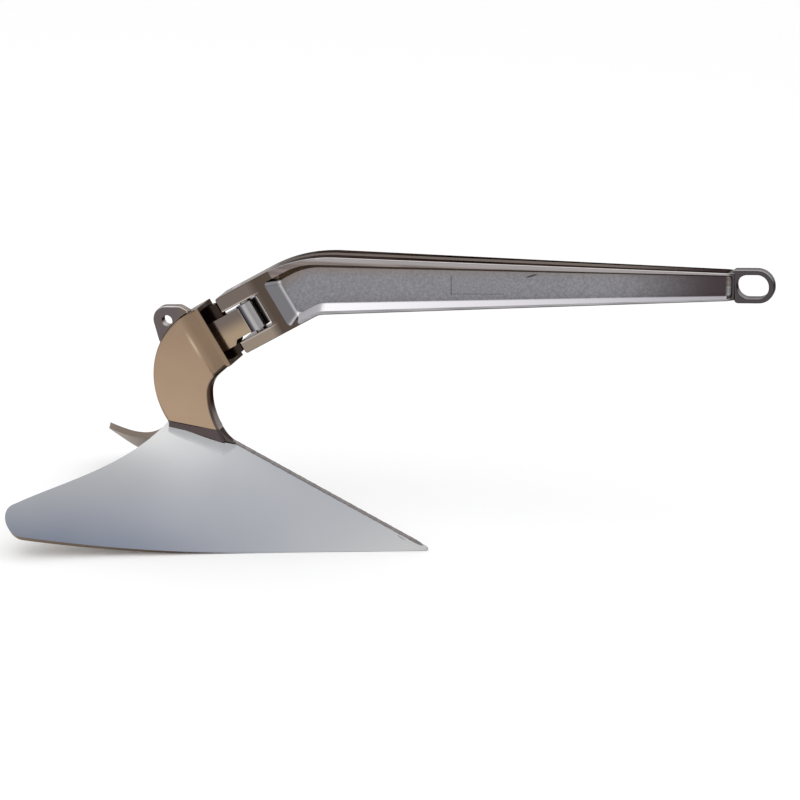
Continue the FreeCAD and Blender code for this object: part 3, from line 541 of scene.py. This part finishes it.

# %% [markdown]
# In front of the flange only the tongue's two sides show a painted reflection. The
# flange's face, the web across it and the tongue's top get painted shade, nearly black,
# as in a dark pocket. The tongue's sides warm towards the bottom, where they mirror the
# plate.

# %% Horn: flange pocket and tongue
WEB_HALF = 0.010
TONGUE_COOL, TONGUE_WARM = 0.010, -0.012
# Faces that look sideways, clear of the web, get the painted reflection; all others here get painted shade.
outward = add(tree, "ShaderNodeMapRange", {"Value": facing.outputs[0], "From Min": 0.6, "From Max": 0.9})
clear_of_web = add(tree, "ShaderNodeMath", {0: depth.outputs[0], 1: WEB_HALF}, operation="GREATER_THAN")
polished = add(tree, "ShaderNodeMath", {0: outward.outputs[0], 1: clear_of_web.outputs[0]},
               operation="MULTIPLY")
fade = add(tree, "ShaderNodeMapRange", {"Value": height, "From Min": TONGUE_COOL, "From Max": TONGUE_WARM},
           interpolation_type="SMOOTHSTEP")
tongue = add(tree, "ShaderNodeMix", {0: fade.outputs[0], 6: colour("#6d625c"), 7: colour("#a08c75")},
             data_type="RGBA")
recessed = add(tree, "ShaderNodeMix", {0: polished.outputs[0], 6: colour("#332a26"), 7: tongue.outputs[2]},
               data_type="RGBA")
print("horn, tongue:", len(tree.nodes), "nodes")

# %% [markdown]
# The tongue ends in a barrel round the pin. It has a painted highlight where it looks
# outwards, a crescent of painted shade where it turns back into the tongue, and painted
# shade on its two flat ends.

# %% Horn: barrel
BARREL_START, BARREL_FULL = -0.0100, -0.0090
turned_back = measure(tree, normal, FORK_WAY)
crescent = add(tree, "ShaderNodeMapRange", {"Value": turned_back, "From Min": 0.05, "From Max": -0.30},
               interpolation_type="SMOOTHSTEP")
barrel = add(tree, "ShaderNodeMix", {0: crescent.outputs[0], 6: colour("#a8a5a6"), 7: colour("#4a464d")},
             data_type="RGBA")
end_face = add(tree, "ShaderNodeMath", {0: measure(tree, normal, PIN_WAY)}, operation="ABSOLUTE")
end_face = add(tree, "ShaderNodeMath", {0: end_face.outputs[0], 1: 0.5}, operation="GREATER_THAN")
barrel = add(tree, "ShaderNodeMix", {0: end_face.outputs[0], 6: barrel.outputs[2], 7: colour("#4a413c")},
             data_type="RGBA")
axle = add(tree, "ShaderNodeMapRange", {"Value": fork, "From Min": BARREL_START, "From Max": BARREL_FULL})
front = add(tree, "ShaderNodeMix", {0: axle.outputs[0], 6: recessed.outputs[2], 7: barrel.outputs[2]},
            data_type="RGBA")
print("horn, barrel:", len(tree.nodes), "nodes")

# %% [markdown]
# The flange's face parts the two halves of the horn. Slow ripples, left by the wheel,
# bend what it mirrors. They could be in the mesh, but 0.2 mm of bump does the same and
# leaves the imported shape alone.

# %% Horn: both halves and ripples
FLANGE_START, FLANGE_FACE = -0.0552, -0.0535
RIPPLE_MM = 30.0
RIPPLE_DEPTH = 0.0002
pocket = add(tree, "ShaderNodeMapRange", {"Value": fork, "From Min": FLANGE_START, "From Max": FLANGE_FACE})
skin = add(tree, "ShaderNodeMix", {0: pocket.outputs[0], 6: neck.outputs[2], 7: front.outputs[2]},
           data_type="RGBA")
tree.links.new(skin.outputs[2], shader.inputs["Base Color"])
ripple = add(tree, "ShaderNodeTexNoise", {"Vector": place, "Scale": 1000.0 / RIPPLE_MM, "Detail": 2.0,
                                          "Roughness": 0.4})
bump = add(tree, "ShaderNodeBump", {"Height": ripple.outputs[0], "Distance": RIPPLE_DEPTH, "Strength": 0.5})
tree.links.new(bump.outputs[0], shader.inputs["Normal"])
dress(nodes["horn"], material)

# %% [markdown]
# ## Hinge pin: turned bar
# The pin is a turned and polished bar. Its ends lie flush in the fork's arms, so
# hardly any of it shows, and it needs no masks. A single colour would look like
# plastic, so it drifts between two near ones, in patches as big as the touch of the
# tool that finished it. The welds and the ballast are made in the same way.

# %% Hinge pin finish


def drifting_metal(name, metallic, roughness, patch_mm, detail, dark, pale):
    """A material that drifts from dark to pale in patches of patch_mm; gives it and its noise."""
    material, tree, shader = new_material(name, metallic, roughness)
    coords = add(tree, "ShaderNodeTexCoord")
    patch = add(tree, "ShaderNodeTexNoise", {"Vector": coords.outputs["Object"], "Scale": 1000.0 / patch_mm,
                                             "Detail": detail})
    shade = add(tree, "ShaderNodeMix", {0: patch.outputs[0], 6: colour(dark), 7: colour(pale)},
                data_type="RGBA")
    tree.links.new(shade.outputs[2], shader.inputs["Base Color"])
    return material, patch


turned_bar, _ = drifting_metal("turned stainless bar", 1.0, 0.22, 4.0, 2.0, "#8c8887", "#aaa7a6")
dress(nodes["hinge_pin"], turned_bar)

# %% [markdown]
# ## Shank: polished, with an as-cast web
# The shank is cast too, and its wide flat lands and rounded edges are polished in
# strokes along its length. Slicing it into one object for each finish would open
# seams, so one material holds them all and masks choose between them. The shank's
# middle line tells upper from lower: it runs along the fork first and then along the
# beam, whichever is lower.

# %% Shank: which way a face looks, and where it is
BEAM_END = (0.4546, 0.0, 0.4019)
BEAM_UP = (-0.0906, 0.0, 1.0)
material, tree, shader = new_material("polished shank with as-cast web", 1.0, 0.2)
shader.inputs["Specular Tint"].default_value = EDGE_TINT
coords = add(tree, "ShaderNodeTexCoord")
place, normal = coords.outputs["Object"], coords.outputs["Normal"]
look = add(tree, "ShaderNodeSeparateXYZ", {0: normal})
spot = add(tree, "ShaderNodeSeparateXYZ", {0: place})
depth = add(tree, "ShaderNodeMath", {0: spot.outputs["Y"]}, operation="ABSOLUTE")
facing = add(tree, "ShaderNodeMath", {0: look.outputs["Y"]}, operation="ABSOLUTE")
up = add(tree, "ShaderNodeMapRange", {"Value": look.outputs["Z"], "From Min": 0.10, "From Max": 0.60},
         interpolation_type="SMOOTHSTEP")
under = add(tree, "ShaderNodeMapRange", {"Value": look.outputs["Z"], "From Min": -0.05, "From Max": -0.40},
            interpolation_type="SMOOTHSTEP")
fork = measure(tree, place, FORK_WAY, PIN)
height = measure(tree, place, PIN_WAY, PIN)
above = add(tree, "ShaderNodeMath", {0: height, 1: measure(tree, place, BEAM_UP, BEAM_END)},
            operation="MAXIMUM")
upper = add(tree, "ShaderNodeMath", {0: above.outputs[0], 1: 0.0}, operation="GREATER_THAN")
print("shank, ways and places:", len(tree.nodes), "nodes")

# %% [markdown]
# The upper land has a painted reflection of brown things, under a painted highlight
# that follows the top edge, and the lower land a painted reflection of the pale ground.
# Both are streaked by the strokes of the wheel, which are noise stretched to a ninth of
# a metre by 6 mm.

# %% Shank: lands
TOP_END = (0.4546, 0.0, 0.4188)
TOP_DOWN = (0.0515, 0.0, -1.0)
STRIPE_FULL, STRIPE_END = 0.0045, 0.0075
STROKE = (1 / 9, 0.00625, 0.00625)
stroke = add(tree, "ShaderNodeMapping", {"Vector": place, "Scale": [1 / size for size in STROKE]})
streak = add(tree, "ShaderNodeTexNoise", {"Vector": stroke.outputs[0], "Scale": 1.0, "Detail": 3.0})
streak = add(tree, "ShaderNodeMapRange", {"Value": streak.outputs[0], "From Min": 0.35, "From Max": 0.65},
             interpolation_type="SMOOTHSTEP")
brown = add(tree, "ShaderNodeMix", {0: streak.outputs[0], 6: colour("#6f6561"), 7: colour("#8a7f7b")},
            data_type="RGBA")
grey = add(tree, "ShaderNodeMix", {0: streak.outputs[0], 6: colour("#8d8b8d"), 7: colour("#a3a1a3")},
           data_type="RGBA")
below_top = measure(tree, place, TOP_DOWN, TOP_END)
stripe = add(tree, "ShaderNodeMapRange", {"Value": below_top, "From Min": STRIPE_END, "From Max": STRIPE_FULL,
                                          "To Max": 0.75}, interpolation_type="SMOOTHSTEP")
brown = add(tree, "ShaderNodeMix", {0: stripe.outputs[0], 6: brown.outputs[2], 7: colour("#a39f9f")},
            data_type="RGBA")
sides = add(tree, "ShaderNodeMix", {0: upper.outputs[0], 6: grey.outputs[2], 7: brown.outputs[2]},
            data_type="RGBA")
print("shank, lands:", len(tree.nodes), "nodes")

# %% [markdown]
# Faces that look up get a painted reflection, dark along the flat top and light where
# the top rounds over. Faces that look down get a painted tan reflection under the upper
# rib and painted shade on the shank's underside.

# %% Shank: tops and undersides
roof = add(tree, "ShaderNodeMix", {0: streak.outputs[0], 6: colour("#1f1918"), 7: colour("#5c5351")},
           data_type="RGBA")
rounding = add(tree, "ShaderNodeMapRange", {"Value": facing.outputs[0], "From Min": 0.10, "From Max": 0.45},
               interpolation_type="SMOOTHSTEP")
roof = add(tree, "ShaderNodeMix", {0: rounding.outputs[0], 6: roof.outputs[2], 7: colour("#a7a2a2")},
           data_type="RGBA")
shadow = add(tree, "ShaderNodeMix", {0: upper.outputs[0], 6: colour("#3b3230"), 7: colour("#9c8b78")},
             data_type="RGBA")
lower = add(tree, "ShaderNodeMix", {0: under.outputs[0], 6: sides.outputs[2], 7: shadow.outputs[2]},
            data_type="RGBA")
land = add(tree, "ShaderNodeMix", {0: up.outputs[0], 6: lower.outputs[2], 7: roof.outputs[2]},
           data_type="RGBA")
print("shank, tops and undersides:", len(tree.nodes), "nodes")

# %% [markdown]
# The fork is painted as the darkest part of the shank. Its two arms get a brown
# painted reflection, the lower one lighter, its root gets painted shade, nearly black,
# and a painted highlight follows the window's rim above and below the barrel.

# %% Shank: cheeks of the fork
ROOT_START, ROOT_FULL = 0.020, 0.034
LOWER_ARM_START, LOWER_ARM_FULL = -0.018, -0.024
RIM_HEIGHT = 0.0235
RIM_HALF, RIM_CORE = 0.0016, 0.0004
at_root = add(tree, "ShaderNodeMapRange", {"Value": fork, "From Min": ROOT_START, "From Max": ROOT_FULL})
lower_arm = add(tree, "ShaderNodeMapRange", {"Value": height, "From Min": LOWER_ARM_START,
                                             "From Max": LOWER_ARM_FULL})
arms = add(tree, "ShaderNodeMix", {0: lower_arm.outputs[0], 6: colour("#6e635d"), 7: colour("#8e8174")},
           data_type="RGBA")
cheek = add(tree, "ShaderNodeMix", {0: at_root.outputs[0], 6: arms.outputs[2], 7: colour("#52473f")},
            data_type="RGBA")
from_middle = add(tree, "ShaderNodeMath", {0: height}, operation="ABSOLUTE")
from_rim = add(tree, "ShaderNodeMath", {0: from_middle.outputs[0], 1: -RIM_HEIGHT}, operation="ADD")
from_rim = add(tree, "ShaderNodeMath", {0: from_rim.outputs[0]}, operation="ABSOLUTE")
gleam = add(tree, "ShaderNodeMapRange", {"Value": from_rim.outputs[0], "From Min": RIM_HALF,
                                         "From Max": RIM_CORE})
gleam = add(tree, "ShaderNodeMath", {0: gleam.outputs[0], 1: at_root.outputs[0]}, operation="SUBTRACT",
            use_clamp=True)
cheek = add(tree, "ShaderNodeMix", {0: gleam.outputs[0], 6: cheek.outputs[2], 7: colour("#b3a9a1")},
            data_type="RGBA")
print("shank, cheeks:", len(tree.nodes), "nodes")

# %% [markdown]
# Inside the window only the wall that looks up gets a painted highlight. The other
# walls mirror each other and get painted shade.

# %% Shank: walls of the window
FORK_FULL, FORK_END = 0.0580, 0.0595
wall_up = add(tree, "ShaderNodeMapRange", {"Value": measure(tree, normal, PIN_WAY), "From Min": 0.3,
                                           "From Max": 0.8})
wall = add(tree, "ShaderNodeMix", {0: wall_up.outputs[0], 6: colour("#332a26"), 7: colour("#968b84")},
           data_type="RGBA")
outward = add(tree, "ShaderNodeMapRange", {"Value": facing.outputs[0], "From Min": 0.5, "From Max": 0.9})
fork_skin = add(tree, "ShaderNodeMix", {0: outward.outputs[0], 6: wall.outputs[2], 7: cheek.outputs[2]},
                data_type="RGBA")
in_fork = add(tree, "ShaderNodeMapRange", {"Value": fork, "From Min": FORK_END, "From Max": FORK_FULL})
land = add(tree, "ShaderNodeMix", {0: in_fork.outputs[0], 6: land.outputs[2], 7: fork_skin.outputs[2]},
           data_type="RGBA")
print("shank, window:", len(tree.nodes), "nodes")

# %% [markdown]
# A ramp leads from the fork down into the recess. It is the only face there that looks
# forwards along the fork, which tells it apart. It is grey, with a painted highlight
# where it meets the web.

# %% Shank: ramp into the recess
RAMP_FULL, RAMP_END = 0.112, 0.120
RAMP_TOP, RAMP_FOOT = 0.0090, 0.0055
ramp = add(tree, "ShaderNodeMapRange", {"Value": measure(tree, normal, FORK_WAY), "From Min": 0.25,
                                        "From Max": 0.40})
before_beam = add(tree, "ShaderNodeMapRange", {"Value": fork, "From Min": RAMP_END, "From Max": RAMP_FULL})
ramp = add(tree, "ShaderNodeMath", {0: ramp.outputs[0], 1: before_beam.outputs[0]}, operation="MULTIPLY")
ramp_foot = add(tree, "ShaderNodeMapRange", {"Value": depth.outputs[0], "From Min": RAMP_TOP,
                                             "From Max": RAMP_FOOT}, interpolation_type="SMOOTHSTEP")
slide = add(tree, "ShaderNodeMix", {0: ramp_foot.outputs[0], 6: colour("#807f82"), 7: colour("#c9c7ca")},
            data_type="RGBA")
land = add(tree, "ShaderNodeMix", {0: ramp.outputs[0], 6: land.outputs[2], 7: slide.outputs[2]},
           data_type="RGBA")
print("shank, ramp:", len(tree.nodes), "nodes")

# %% [markdown]
# The shackle eye is a flat ring at the beam's end. Its sides are dark, and only its
# rounded top catches the light.

# %% Shank: eye
EYE_START, EYE_FULL = 0.4235, 0.4275
ring_up = add(tree, "ShaderNodeMix", {0: up.outputs[0], 6: colour("#332c2c"), 7: colour("#a3a2a3")},
              data_type="RGBA")
ring = add(tree, "ShaderNodeMix", {0: outward.outputs[0], 6: ring_up.outputs[2], 7: colour("#4b4647")},
           data_type="RGBA")
in_eye = add(tree, "ShaderNodeMapRange", {"Value": spot.outputs["X"], "From Min": EYE_START,
                                          "From Max": EYE_FULL})
land = add(tree, "ShaderNodeMix", {0: in_eye.outputs[0], 6: land.outputs[2], 7: ring.outputs[2]},
           data_type="RGBA")
print("shank, eye:", len(tree.nodes), "nodes")

# %% [markdown]
# The sunk web keeps the skin of the mould: a dull, speckled grey. Under the upper rib
# it gets a browner painted reflection, and towards the eye it is darker. It lies within
# about 5 mm of the shank's middle plane, between the fork and the eye, and nothing
# else does.

# %% Shank: where the web is
WEB_END, WEB_FULL = 0.0060, 0.0044
RECESS_FRONT_FULL, RECESS_FRONT = 0.4200, 0.4240
RECESS_REAR, RECESS_REAR_FULL = -0.170, -0.162
inside = add(tree, "ShaderNodeMapRange", {"Value": depth.outputs[0], "From Min": WEB_END,
                                          "From Max": WEB_FULL})
before_eye = add(tree, "ShaderNodeMapRange", {"Value": spot.outputs["X"], "From Min": RECESS_FRONT,
                                              "From Max": RECESS_FRONT_FULL})
past_fork = add(tree, "ShaderNodeMapRange", {"Value": spot.outputs["X"], "From Min": RECESS_REAR,
                                             "From Max": RECESS_REAR_FULL})
web = add(tree, "ShaderNodeMath", {0: inside.outputs[0], 1: before_eye.outputs[0]}, operation="MULTIPLY")
web = add(tree, "ShaderNodeMath", {0: web.outputs[0], 1: past_fork.outputs[0]}, operation="MULTIPLY")
print("shank, place of the web:", len(tree.nodes), "nodes")

# %% [markdown]
# The grain of such a skin is finer than a pixel here, so it is drawn at 3 mm, as
# coarse as it needs to be to show. One dark nick, a small stretched ball, sits on the
# web.

# %% Shank: skin of the mould
GRAIN_MM = 3.0
NICK_AT = (0.1708, -0.004, 0.38765)
NICK_SIZE = (0.0085, 0.0010, 0.0013)
grain = add(tree, "ShaderNodeTexNoise", {"Vector": place, "Scale": 1000.0 / GRAIN_MM, "Detail": 4.0,
                                         "Roughness": 0.65})
speck = add(tree, "ShaderNodeMapRange", {"Value": grain.outputs[0], "From Min": 0.30, "From Max": 0.75},
            interpolation_type="SMOOTHSTEP")
mould = add(tree, "ShaderNodeMix", {0: speck.outputs[0], 6: colour("#828185"), 7: colour("#9a999d")},
            data_type="RGBA")
# Under the upper rib the skin gets a browner painted reflection, and towards the eye it is darker.
near_rib = add(tree, "ShaderNodeMapRange", {"Value": above.outputs[0], "From Min": 0.008, "From Max": 0.022,
                                            "To Max": 0.75})
mould = add(tree, "ShaderNodeMix", {0: near_rib.outputs[0], 6: mould.outputs[2], 7: colour("#8d8077")},
            data_type="RGBA")
near_eye = add(tree, "ShaderNodeMapRange", {"Value": spot.outputs["X"], "From Min": 0.26, "From Max": 0.42},
               interpolation_type="SMOOTHSTEP")
mould = add(tree, "ShaderNodeMix", {0: near_eye.outputs[0], 6: mould.outputs[2], 7: colour("#4a4143")},
            data_type="RGBA")
nick = add(tree, "ShaderNodeMapping", {"Vector": place, "Location": NICK_AT, "Scale": NICK_SIZE,
                                       "Rotation": (0.0, math.radians(-22.0), 0.0)}, vector_type="TEXTURE")
nick = add(tree, "ShaderNodeVectorMath", {0: nick.outputs[0]}, operation="LENGTH")
nick = add(tree, "ShaderNodeMapRange", {"Value": nick.outputs["Value"], "From Min": 1.1, "From Max": 0.7})
mould = add(tree, "ShaderNodeMix", {0: nick.outputs[0], 6: mould.outputs[2], 7: colour("#4f4a4c")},
            data_type="RGBA")
print("shank, skin of the mould:", len(tree.nodes), "nodes")

# %% [markdown]
# The recess's lower wall is polished, with a painted sheen that is brightest near the
# fork. It is the face below the middle line that slopes up, between fork and eye.

# %% Shank: lower wall of the recess, and all skins
WALL_REAR, WALL_FRONT = -0.12, 0.42
sloping = add(tree, "ShaderNodeMapRange", {"Value": look.outputs["Z"], "From Min": 0.55, "From Max": 0.75})
lower_wall = add(tree, "ShaderNodeMath", {0: sloping.outputs[0], 1: upper.outputs[0]}, operation="SUBTRACT",
                 use_clamp=True)
lower_wall = add(tree, "ShaderNodeMath", {0: lower_wall.outputs[0], 1: before_eye.outputs[0]},
                 operation="MULTIPLY")
lower_wall = add(tree, "ShaderNodeMath", {0: lower_wall.outputs[0], 1: in_fork.outputs[0]},
                 operation="SUBTRACT", use_clamp=True)
along_beam = add(tree, "ShaderNodeMapRange", {"Value": spot.outputs["X"], "From Min": WALL_REAR,
                                              "From Max": WALL_FRONT})
sheen = add(tree, "ShaderNodeMix", {0: along_beam.outputs[0], 6: colour("#b5b3b6"), 7: colour("#77757a")},
            data_type="RGBA")
land = add(tree, "ShaderNodeMix", {0: lower_wall.outputs[0], 6: land.outputs[2], 7: sheen.outputs[2]},
           data_type="RGBA")
skin = add(tree, "ShaderNodeMix", {0: web.outputs[0], 6: land.outputs[2], 7: mould.outputs[2]},
           data_type="RGBA")
tree.links.new(skin.outputs[2], shader.inputs["Base Color"])
rough = add(tree, "ShaderNodeMix", {0: web.outputs[0], 2: 0.18, 3: 0.5}, data_type="FLOAT")
tree.links.new(rough.outputs[0], shader.inputs["Roughness"])
print("shank, all skins:", len(tree.nodes), "nodes")

# %% [markdown]
# The polished lower wall is slightly rounded over, so it mirrors what stands beside
# the anchor rather than the sky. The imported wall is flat, so its normal is leaned
# outwards, away from the middle plane. The ripples of the wheel and the pits of the
# mould follow, one bump on top of the other.

# %% Shank: leaned normal, ripples and pits
WALL_LEAN = 0.75
PIT_DEPTH = 0.0003
side_sign = add(tree, "ShaderNodeMath", {0: spot.outputs["Y"]}, operation="SIGN")
lean = add(tree, "ShaderNodeMath", {0: lower_wall.outputs[0], 1: side_sign.outputs[0]}, operation="MULTIPLY")
lean = add(tree, "ShaderNodeMath", {0: lean.outputs[0], 1: WALL_LEAN}, operation="MULTIPLY")
outwards = add(tree, "ShaderNodeCombineXYZ", {"Y": lean.outputs[0]})
leaned = add(tree, "ShaderNodeVectorMath", {0: normal, 1: outwards.outputs[0]}, operation="ADD")
leaned = add(tree, "ShaderNodeVectorTransform", {0: leaned.outputs[0]}, vector_type="NORMAL",
             convert_from="OBJECT", convert_to="WORLD")
ripple = add(tree, "ShaderNodeTexNoise", {"Vector": place, "Scale": 1000.0 / RIPPLE_MM, "Detail": 2.0,
                                          "Roughness": 0.4})
bump = add(tree, "ShaderNodeBump", {"Height": ripple.outputs[0], "Distance": RIPPLE_DEPTH, "Strength": 0.5,
                                    "Normal": leaned.outputs[0]})
pits = add(tree, "ShaderNodeBump", {"Height": grain.outputs[0], "Distance": PIT_DEPTH,
                                    "Strength": web.outputs[0], "Normal": bump.outputs[0]})
tree.links.new(pits.outputs[0], shader.inputs["Normal"])
dress(nodes["shank"], material)

# %% [markdown]
# ## Plates: satin steel
# The plates are brushed to a satin: dull enough to hide what they mirror, so they
# show one soft sweep from pale grey under the sky to blue grey low on the wing. Light
# alone can't give that sweep from every side, so it is mixed from two colours by a
# plane in x, z and their product, and a slow cloud keeps it from looking ruled.

# %% Plates: sweep of the outer face
SWEEP = (1.88, -3.778, -26.85)
SWEEP_START = 0.70
CLOUD_MM = 120.0
material, tree, shader = new_material("satin stainless plate", 1.0, 0.43)
coords = add(tree, "ShaderNodeTexCoord")
place = coords.outputs["Object"]
look = add(tree, "ShaderNodeSeparateXYZ", {0: coords.outputs["Normal"]})
spot = add(tree, "ShaderNodeSeparateXYZ", {0: place})
twist = add(tree, "ShaderNodeMath", {0: spot.outputs["X"], 1: spot.outputs["Z"]}, operation="MULTIPLY")
terms = add(tree, "ShaderNodeCombineXYZ", {"X": spot.outputs["X"], "Y": spot.outputs["Z"],
                                           "Z": twist.outputs[0]})
sweep = add(tree, "ShaderNodeVectorMath", {0: terms.outputs[0], 1: SWEEP}, operation="DOT_PRODUCT")
cloud = add(tree, "ShaderNodeTexNoise", {"Vector": place, "Scale": 1000.0 / CLOUD_MM, "Detail": 3.0})
drift = add(tree, "ShaderNodeMath", {0: cloud.outputs[0], 1: 0.12, 2: SWEEP_START}, operation="MULTIPLY_ADD")
pale = add(tree, "ShaderNodeMath", {0: sweep.outputs["Value"], 1: drift.outputs[0]}, operation="ADD",
           use_clamp=True)
outside = add(tree, "ShaderNodeMix", {0: pale.outputs[0], 6: colour("#626b7f"), 7: colour("#c5c4c1")},
              data_type="RGBA")
print("plate, sweep:", len(tree.nodes), "nodes")

# %% [markdown]
# The inner faces and the rear rims mirror the ground and look brown. A face's normal
# tells them from the outer face. The near plate also has one short scratch close to
# the point.

# %% Plates: inner faces and scratch
SCRATCH_AT = (-0.0014, -0.0043, 0.01435)
SCRATCH_SIZE = (0.0068, 0.0020, 0.0006)
up = add(tree, "ShaderNodeMapRange", {"Value": look.outputs["Z"], "From Min": -0.10, "From Max": 0.10})
within = add(tree, "ShaderNodeMix", {0: cloud.outputs[0], 6: colour("#746455"), 7: colour("#867564")},
             data_type="RGBA")
not_rim = add(tree, "ShaderNodeMapRange", {"Value": look.outputs["X"], "From Min": -0.60, "From Max": -0.40})
outer = add(tree, "ShaderNodeMath", {0: up.outputs[0], 1: not_rim.outputs[0]}, operation="MULTIPLY")
skin = add(tree, "ShaderNodeMix", {0: outer.outputs[0], 6: within.outputs[2], 7: outside.outputs[2]},
           data_type="RGBA")
scratch = add(tree, "ShaderNodeMapping", {"Vector": place, "Location": SCRATCH_AT, "Scale": SCRATCH_SIZE,
                                          "Rotation": (0.0, math.radians(28.6), 0.0)}, vector_type="TEXTURE")
scratch = add(tree, "ShaderNodeVectorMath", {0: scratch.outputs[0]}, operation="LENGTH")
scratch = add(tree, "ShaderNodeMapRange", {"Value": scratch.outputs["Value"], "From Min": 1.1,
                                           "From Max": 0.7, "To Max": 0.7})
skin = add(tree, "ShaderNodeMix", {0: scratch.outputs[0], 6: skin.outputs[2], 7: colour("#6f6c6d")},
           data_type="RGBA")
tree.links.new(skin.outputs[2], shader.inputs["Base Color"])
print("plate, skins:", len(tree.nodes), "nodes")

# %% [markdown]
# The brush leaves fine lines along the plate. Real ones are a tenth of a millimetre
# wide, too fine to show, so they are drawn about a millimetre wide, a sixtieth of a
# metre long and very shallow.

# %% Plates: brushed lines
BRUSH_LINE = (1 / 60, 1 / 900, 1 / 900)
BRUSH_DEPTH = 0.00003
brush = add(tree, "ShaderNodeMapping", {"Vector": place, "Scale": [1 / size for size in BRUSH_LINE]})
lines = add(tree, "ShaderNodeTexNoise", {"Vector": brush.outputs[0], "Scale": 1.0, "Detail": 4.0})
bump = add(tree, "ShaderNodeBump", {"Height": lines.outputs[0], "Distance": BRUSH_DEPTH, "Strength": 0.4})
tree.links.new(bump.outputs[0], shader.inputs["Normal"])
for piece in plates.values():
    dress(piece, material)

# %% [markdown]
# ## Welds: ground and brushed
# The welds are dressed after welding. The bead on the ridge is ground with a small
# wheel, which leaves it duller than the plates; it is greyer, in patches of 8 mm, a
# painted reflection of the dark. The fillets at the horn's foot are brushed, and are
# painted pale in patches of 15 mm, a painted reflection to match the plate.

# %% Finishes of the welds
ground_weld_dark_reflection, _ = drifting_metal("ground stainless weld with painted dark reflection", 1.0, 0.3, 8.0, 3.0, "#6f6a68", "#948f8d")
dress(bead, ground_weld_dark_reflection)
brushed_weld_pale_reflection, _ = drifting_metal("brushed stainless weld with painted pale reflection", 1.0, 0.5, 15.0, 3.0, "#b3b4b6", "#bdbec0")
for fillet in fillets:
    dress(fillet, brushed_weld_pale_reflection)

# %% [markdown]
# ## Toe weight: cast ballast
# Ballast is poured into the point from inside. Nobody polishes it, so it keeps a
# dull, slightly lumpy cast skin. The noise that mixes its greys also lifts its lumps,
# so that a pale patch is a raised one.

# %% Toe weight finish
LUMP_MM = 6.0
LUMP_DEPTH = 0.0006
ballast, lumps = drifting_metal("cast ballast", 0.8, 0.6, LUMP_MM, 5.0, "#505155", "#757679")
tree = ballast.node_tree
bump = add(tree, "ShaderNodeBump", {"Height": lumps.outputs[0], "Distance": LUMP_DEPTH, "Strength": 0.6})
tree.links.new(bump.outputs[0], tree.nodes["Principled BSDF"].inputs["Normal"])
dress(nodes["toe_weight"], ballast)

# %% [markdown]
# ## Floor
# A white sheet under the anchor. It is one large plane a hair below the height that
# the anchor stands on, so that no face of the anchor lies in it, and it keeps the
# anchor's shadow.

# %% Floor
FLOOR_HALF = 30.0
floor_corners = FLOOR_HALF * np.array([(-1, -1, 0), (1, -1, 0), (1, 1, 0), (-1, 1, 0)])
floor = new_piece("floor", floor_corners, [[0, 1, 2, 3]], 35)
floor.location.z = -0.0005
material, _, shader = new_material("white paper floor", 0.0, 0.9)
shader.inputs["Base Color"].default_value = colour("#ffffff")
shader.inputs["Specular IOR Level"].default_value = 0.1
dress(floor, material)

# %% [markdown]
# ## Light
# A soft sky that is brightest overhead and dimmer towards the horizon gives the
# metal something to mirror. A picture of a room would put its windows on the steel,
# while a ramp from grey to white mirrors softly from every side.

# %% Sky
SKY = ((0.0, (0.55, 0.55, 0.555, 1.0)), (0.45, (0.80, 0.80, 0.81, 1.0)), (1.0, (1.0, 1.0, 1.0, 1.0)))
world = bpy.data.worlds.new("soft sky")
bpy.context.scene.world = world
world.use_nodes = True
tree = world.node_tree
direction = add(tree, "ShaderNodeTexCoord")
climb = add(tree, "ShaderNodeSeparateXYZ", {0: direction.outputs["Generated"]})
sky = add(tree, "ShaderNodeValToRGB", {0: climb.outputs["Z"]})
stops = sky.color_ramp.elements
stops.new(SKY[1][0])
for stop, (position, light) in zip(stops, SKY):
    stop.position = position
    stop.color = light
tree.links.new(sky.outputs[0], tree.nodes["Background"].inputs["Color"])
tree.nodes["Background"].inputs["Strength"].default_value = 1.1
print("sky:", [round(stop.position, 2) for stop in stops])

# %% [markdown]
# One wide lamp, above and in front of the near side, gives a soft shadow. A sun would
# draw it too sharp.

# %% Lamp
lamp = bpy.data.objects.new("soft box", bpy.data.lights.new("soft box", "AREA"))
lamp.data.shape = "RECTANGLE"
lamp.data.size = 3.0
lamp.data.size_y = 2.0
lamp.data.energy = 25.0
lamp.location = (-0.8, -2.2, 3.4)
lamp.rotation_mode = "QUATERNION"
lamp.rotation_quaternion = (Vector((0, 0, 0.15)) - lamp.location).to_track_quat("-Z", "Y")
bpy.context.scene.collection.objects.link(lamp)
print("lamp:", lamp.data.energy, "W from", [round(c, 1) for c in lamp.location])

# %% [markdown]
# ## Finish
# The Standard view shows each colour as it was written.

# %% Finish
bpy.context.scene.view_settings.view_transform = "Standard"
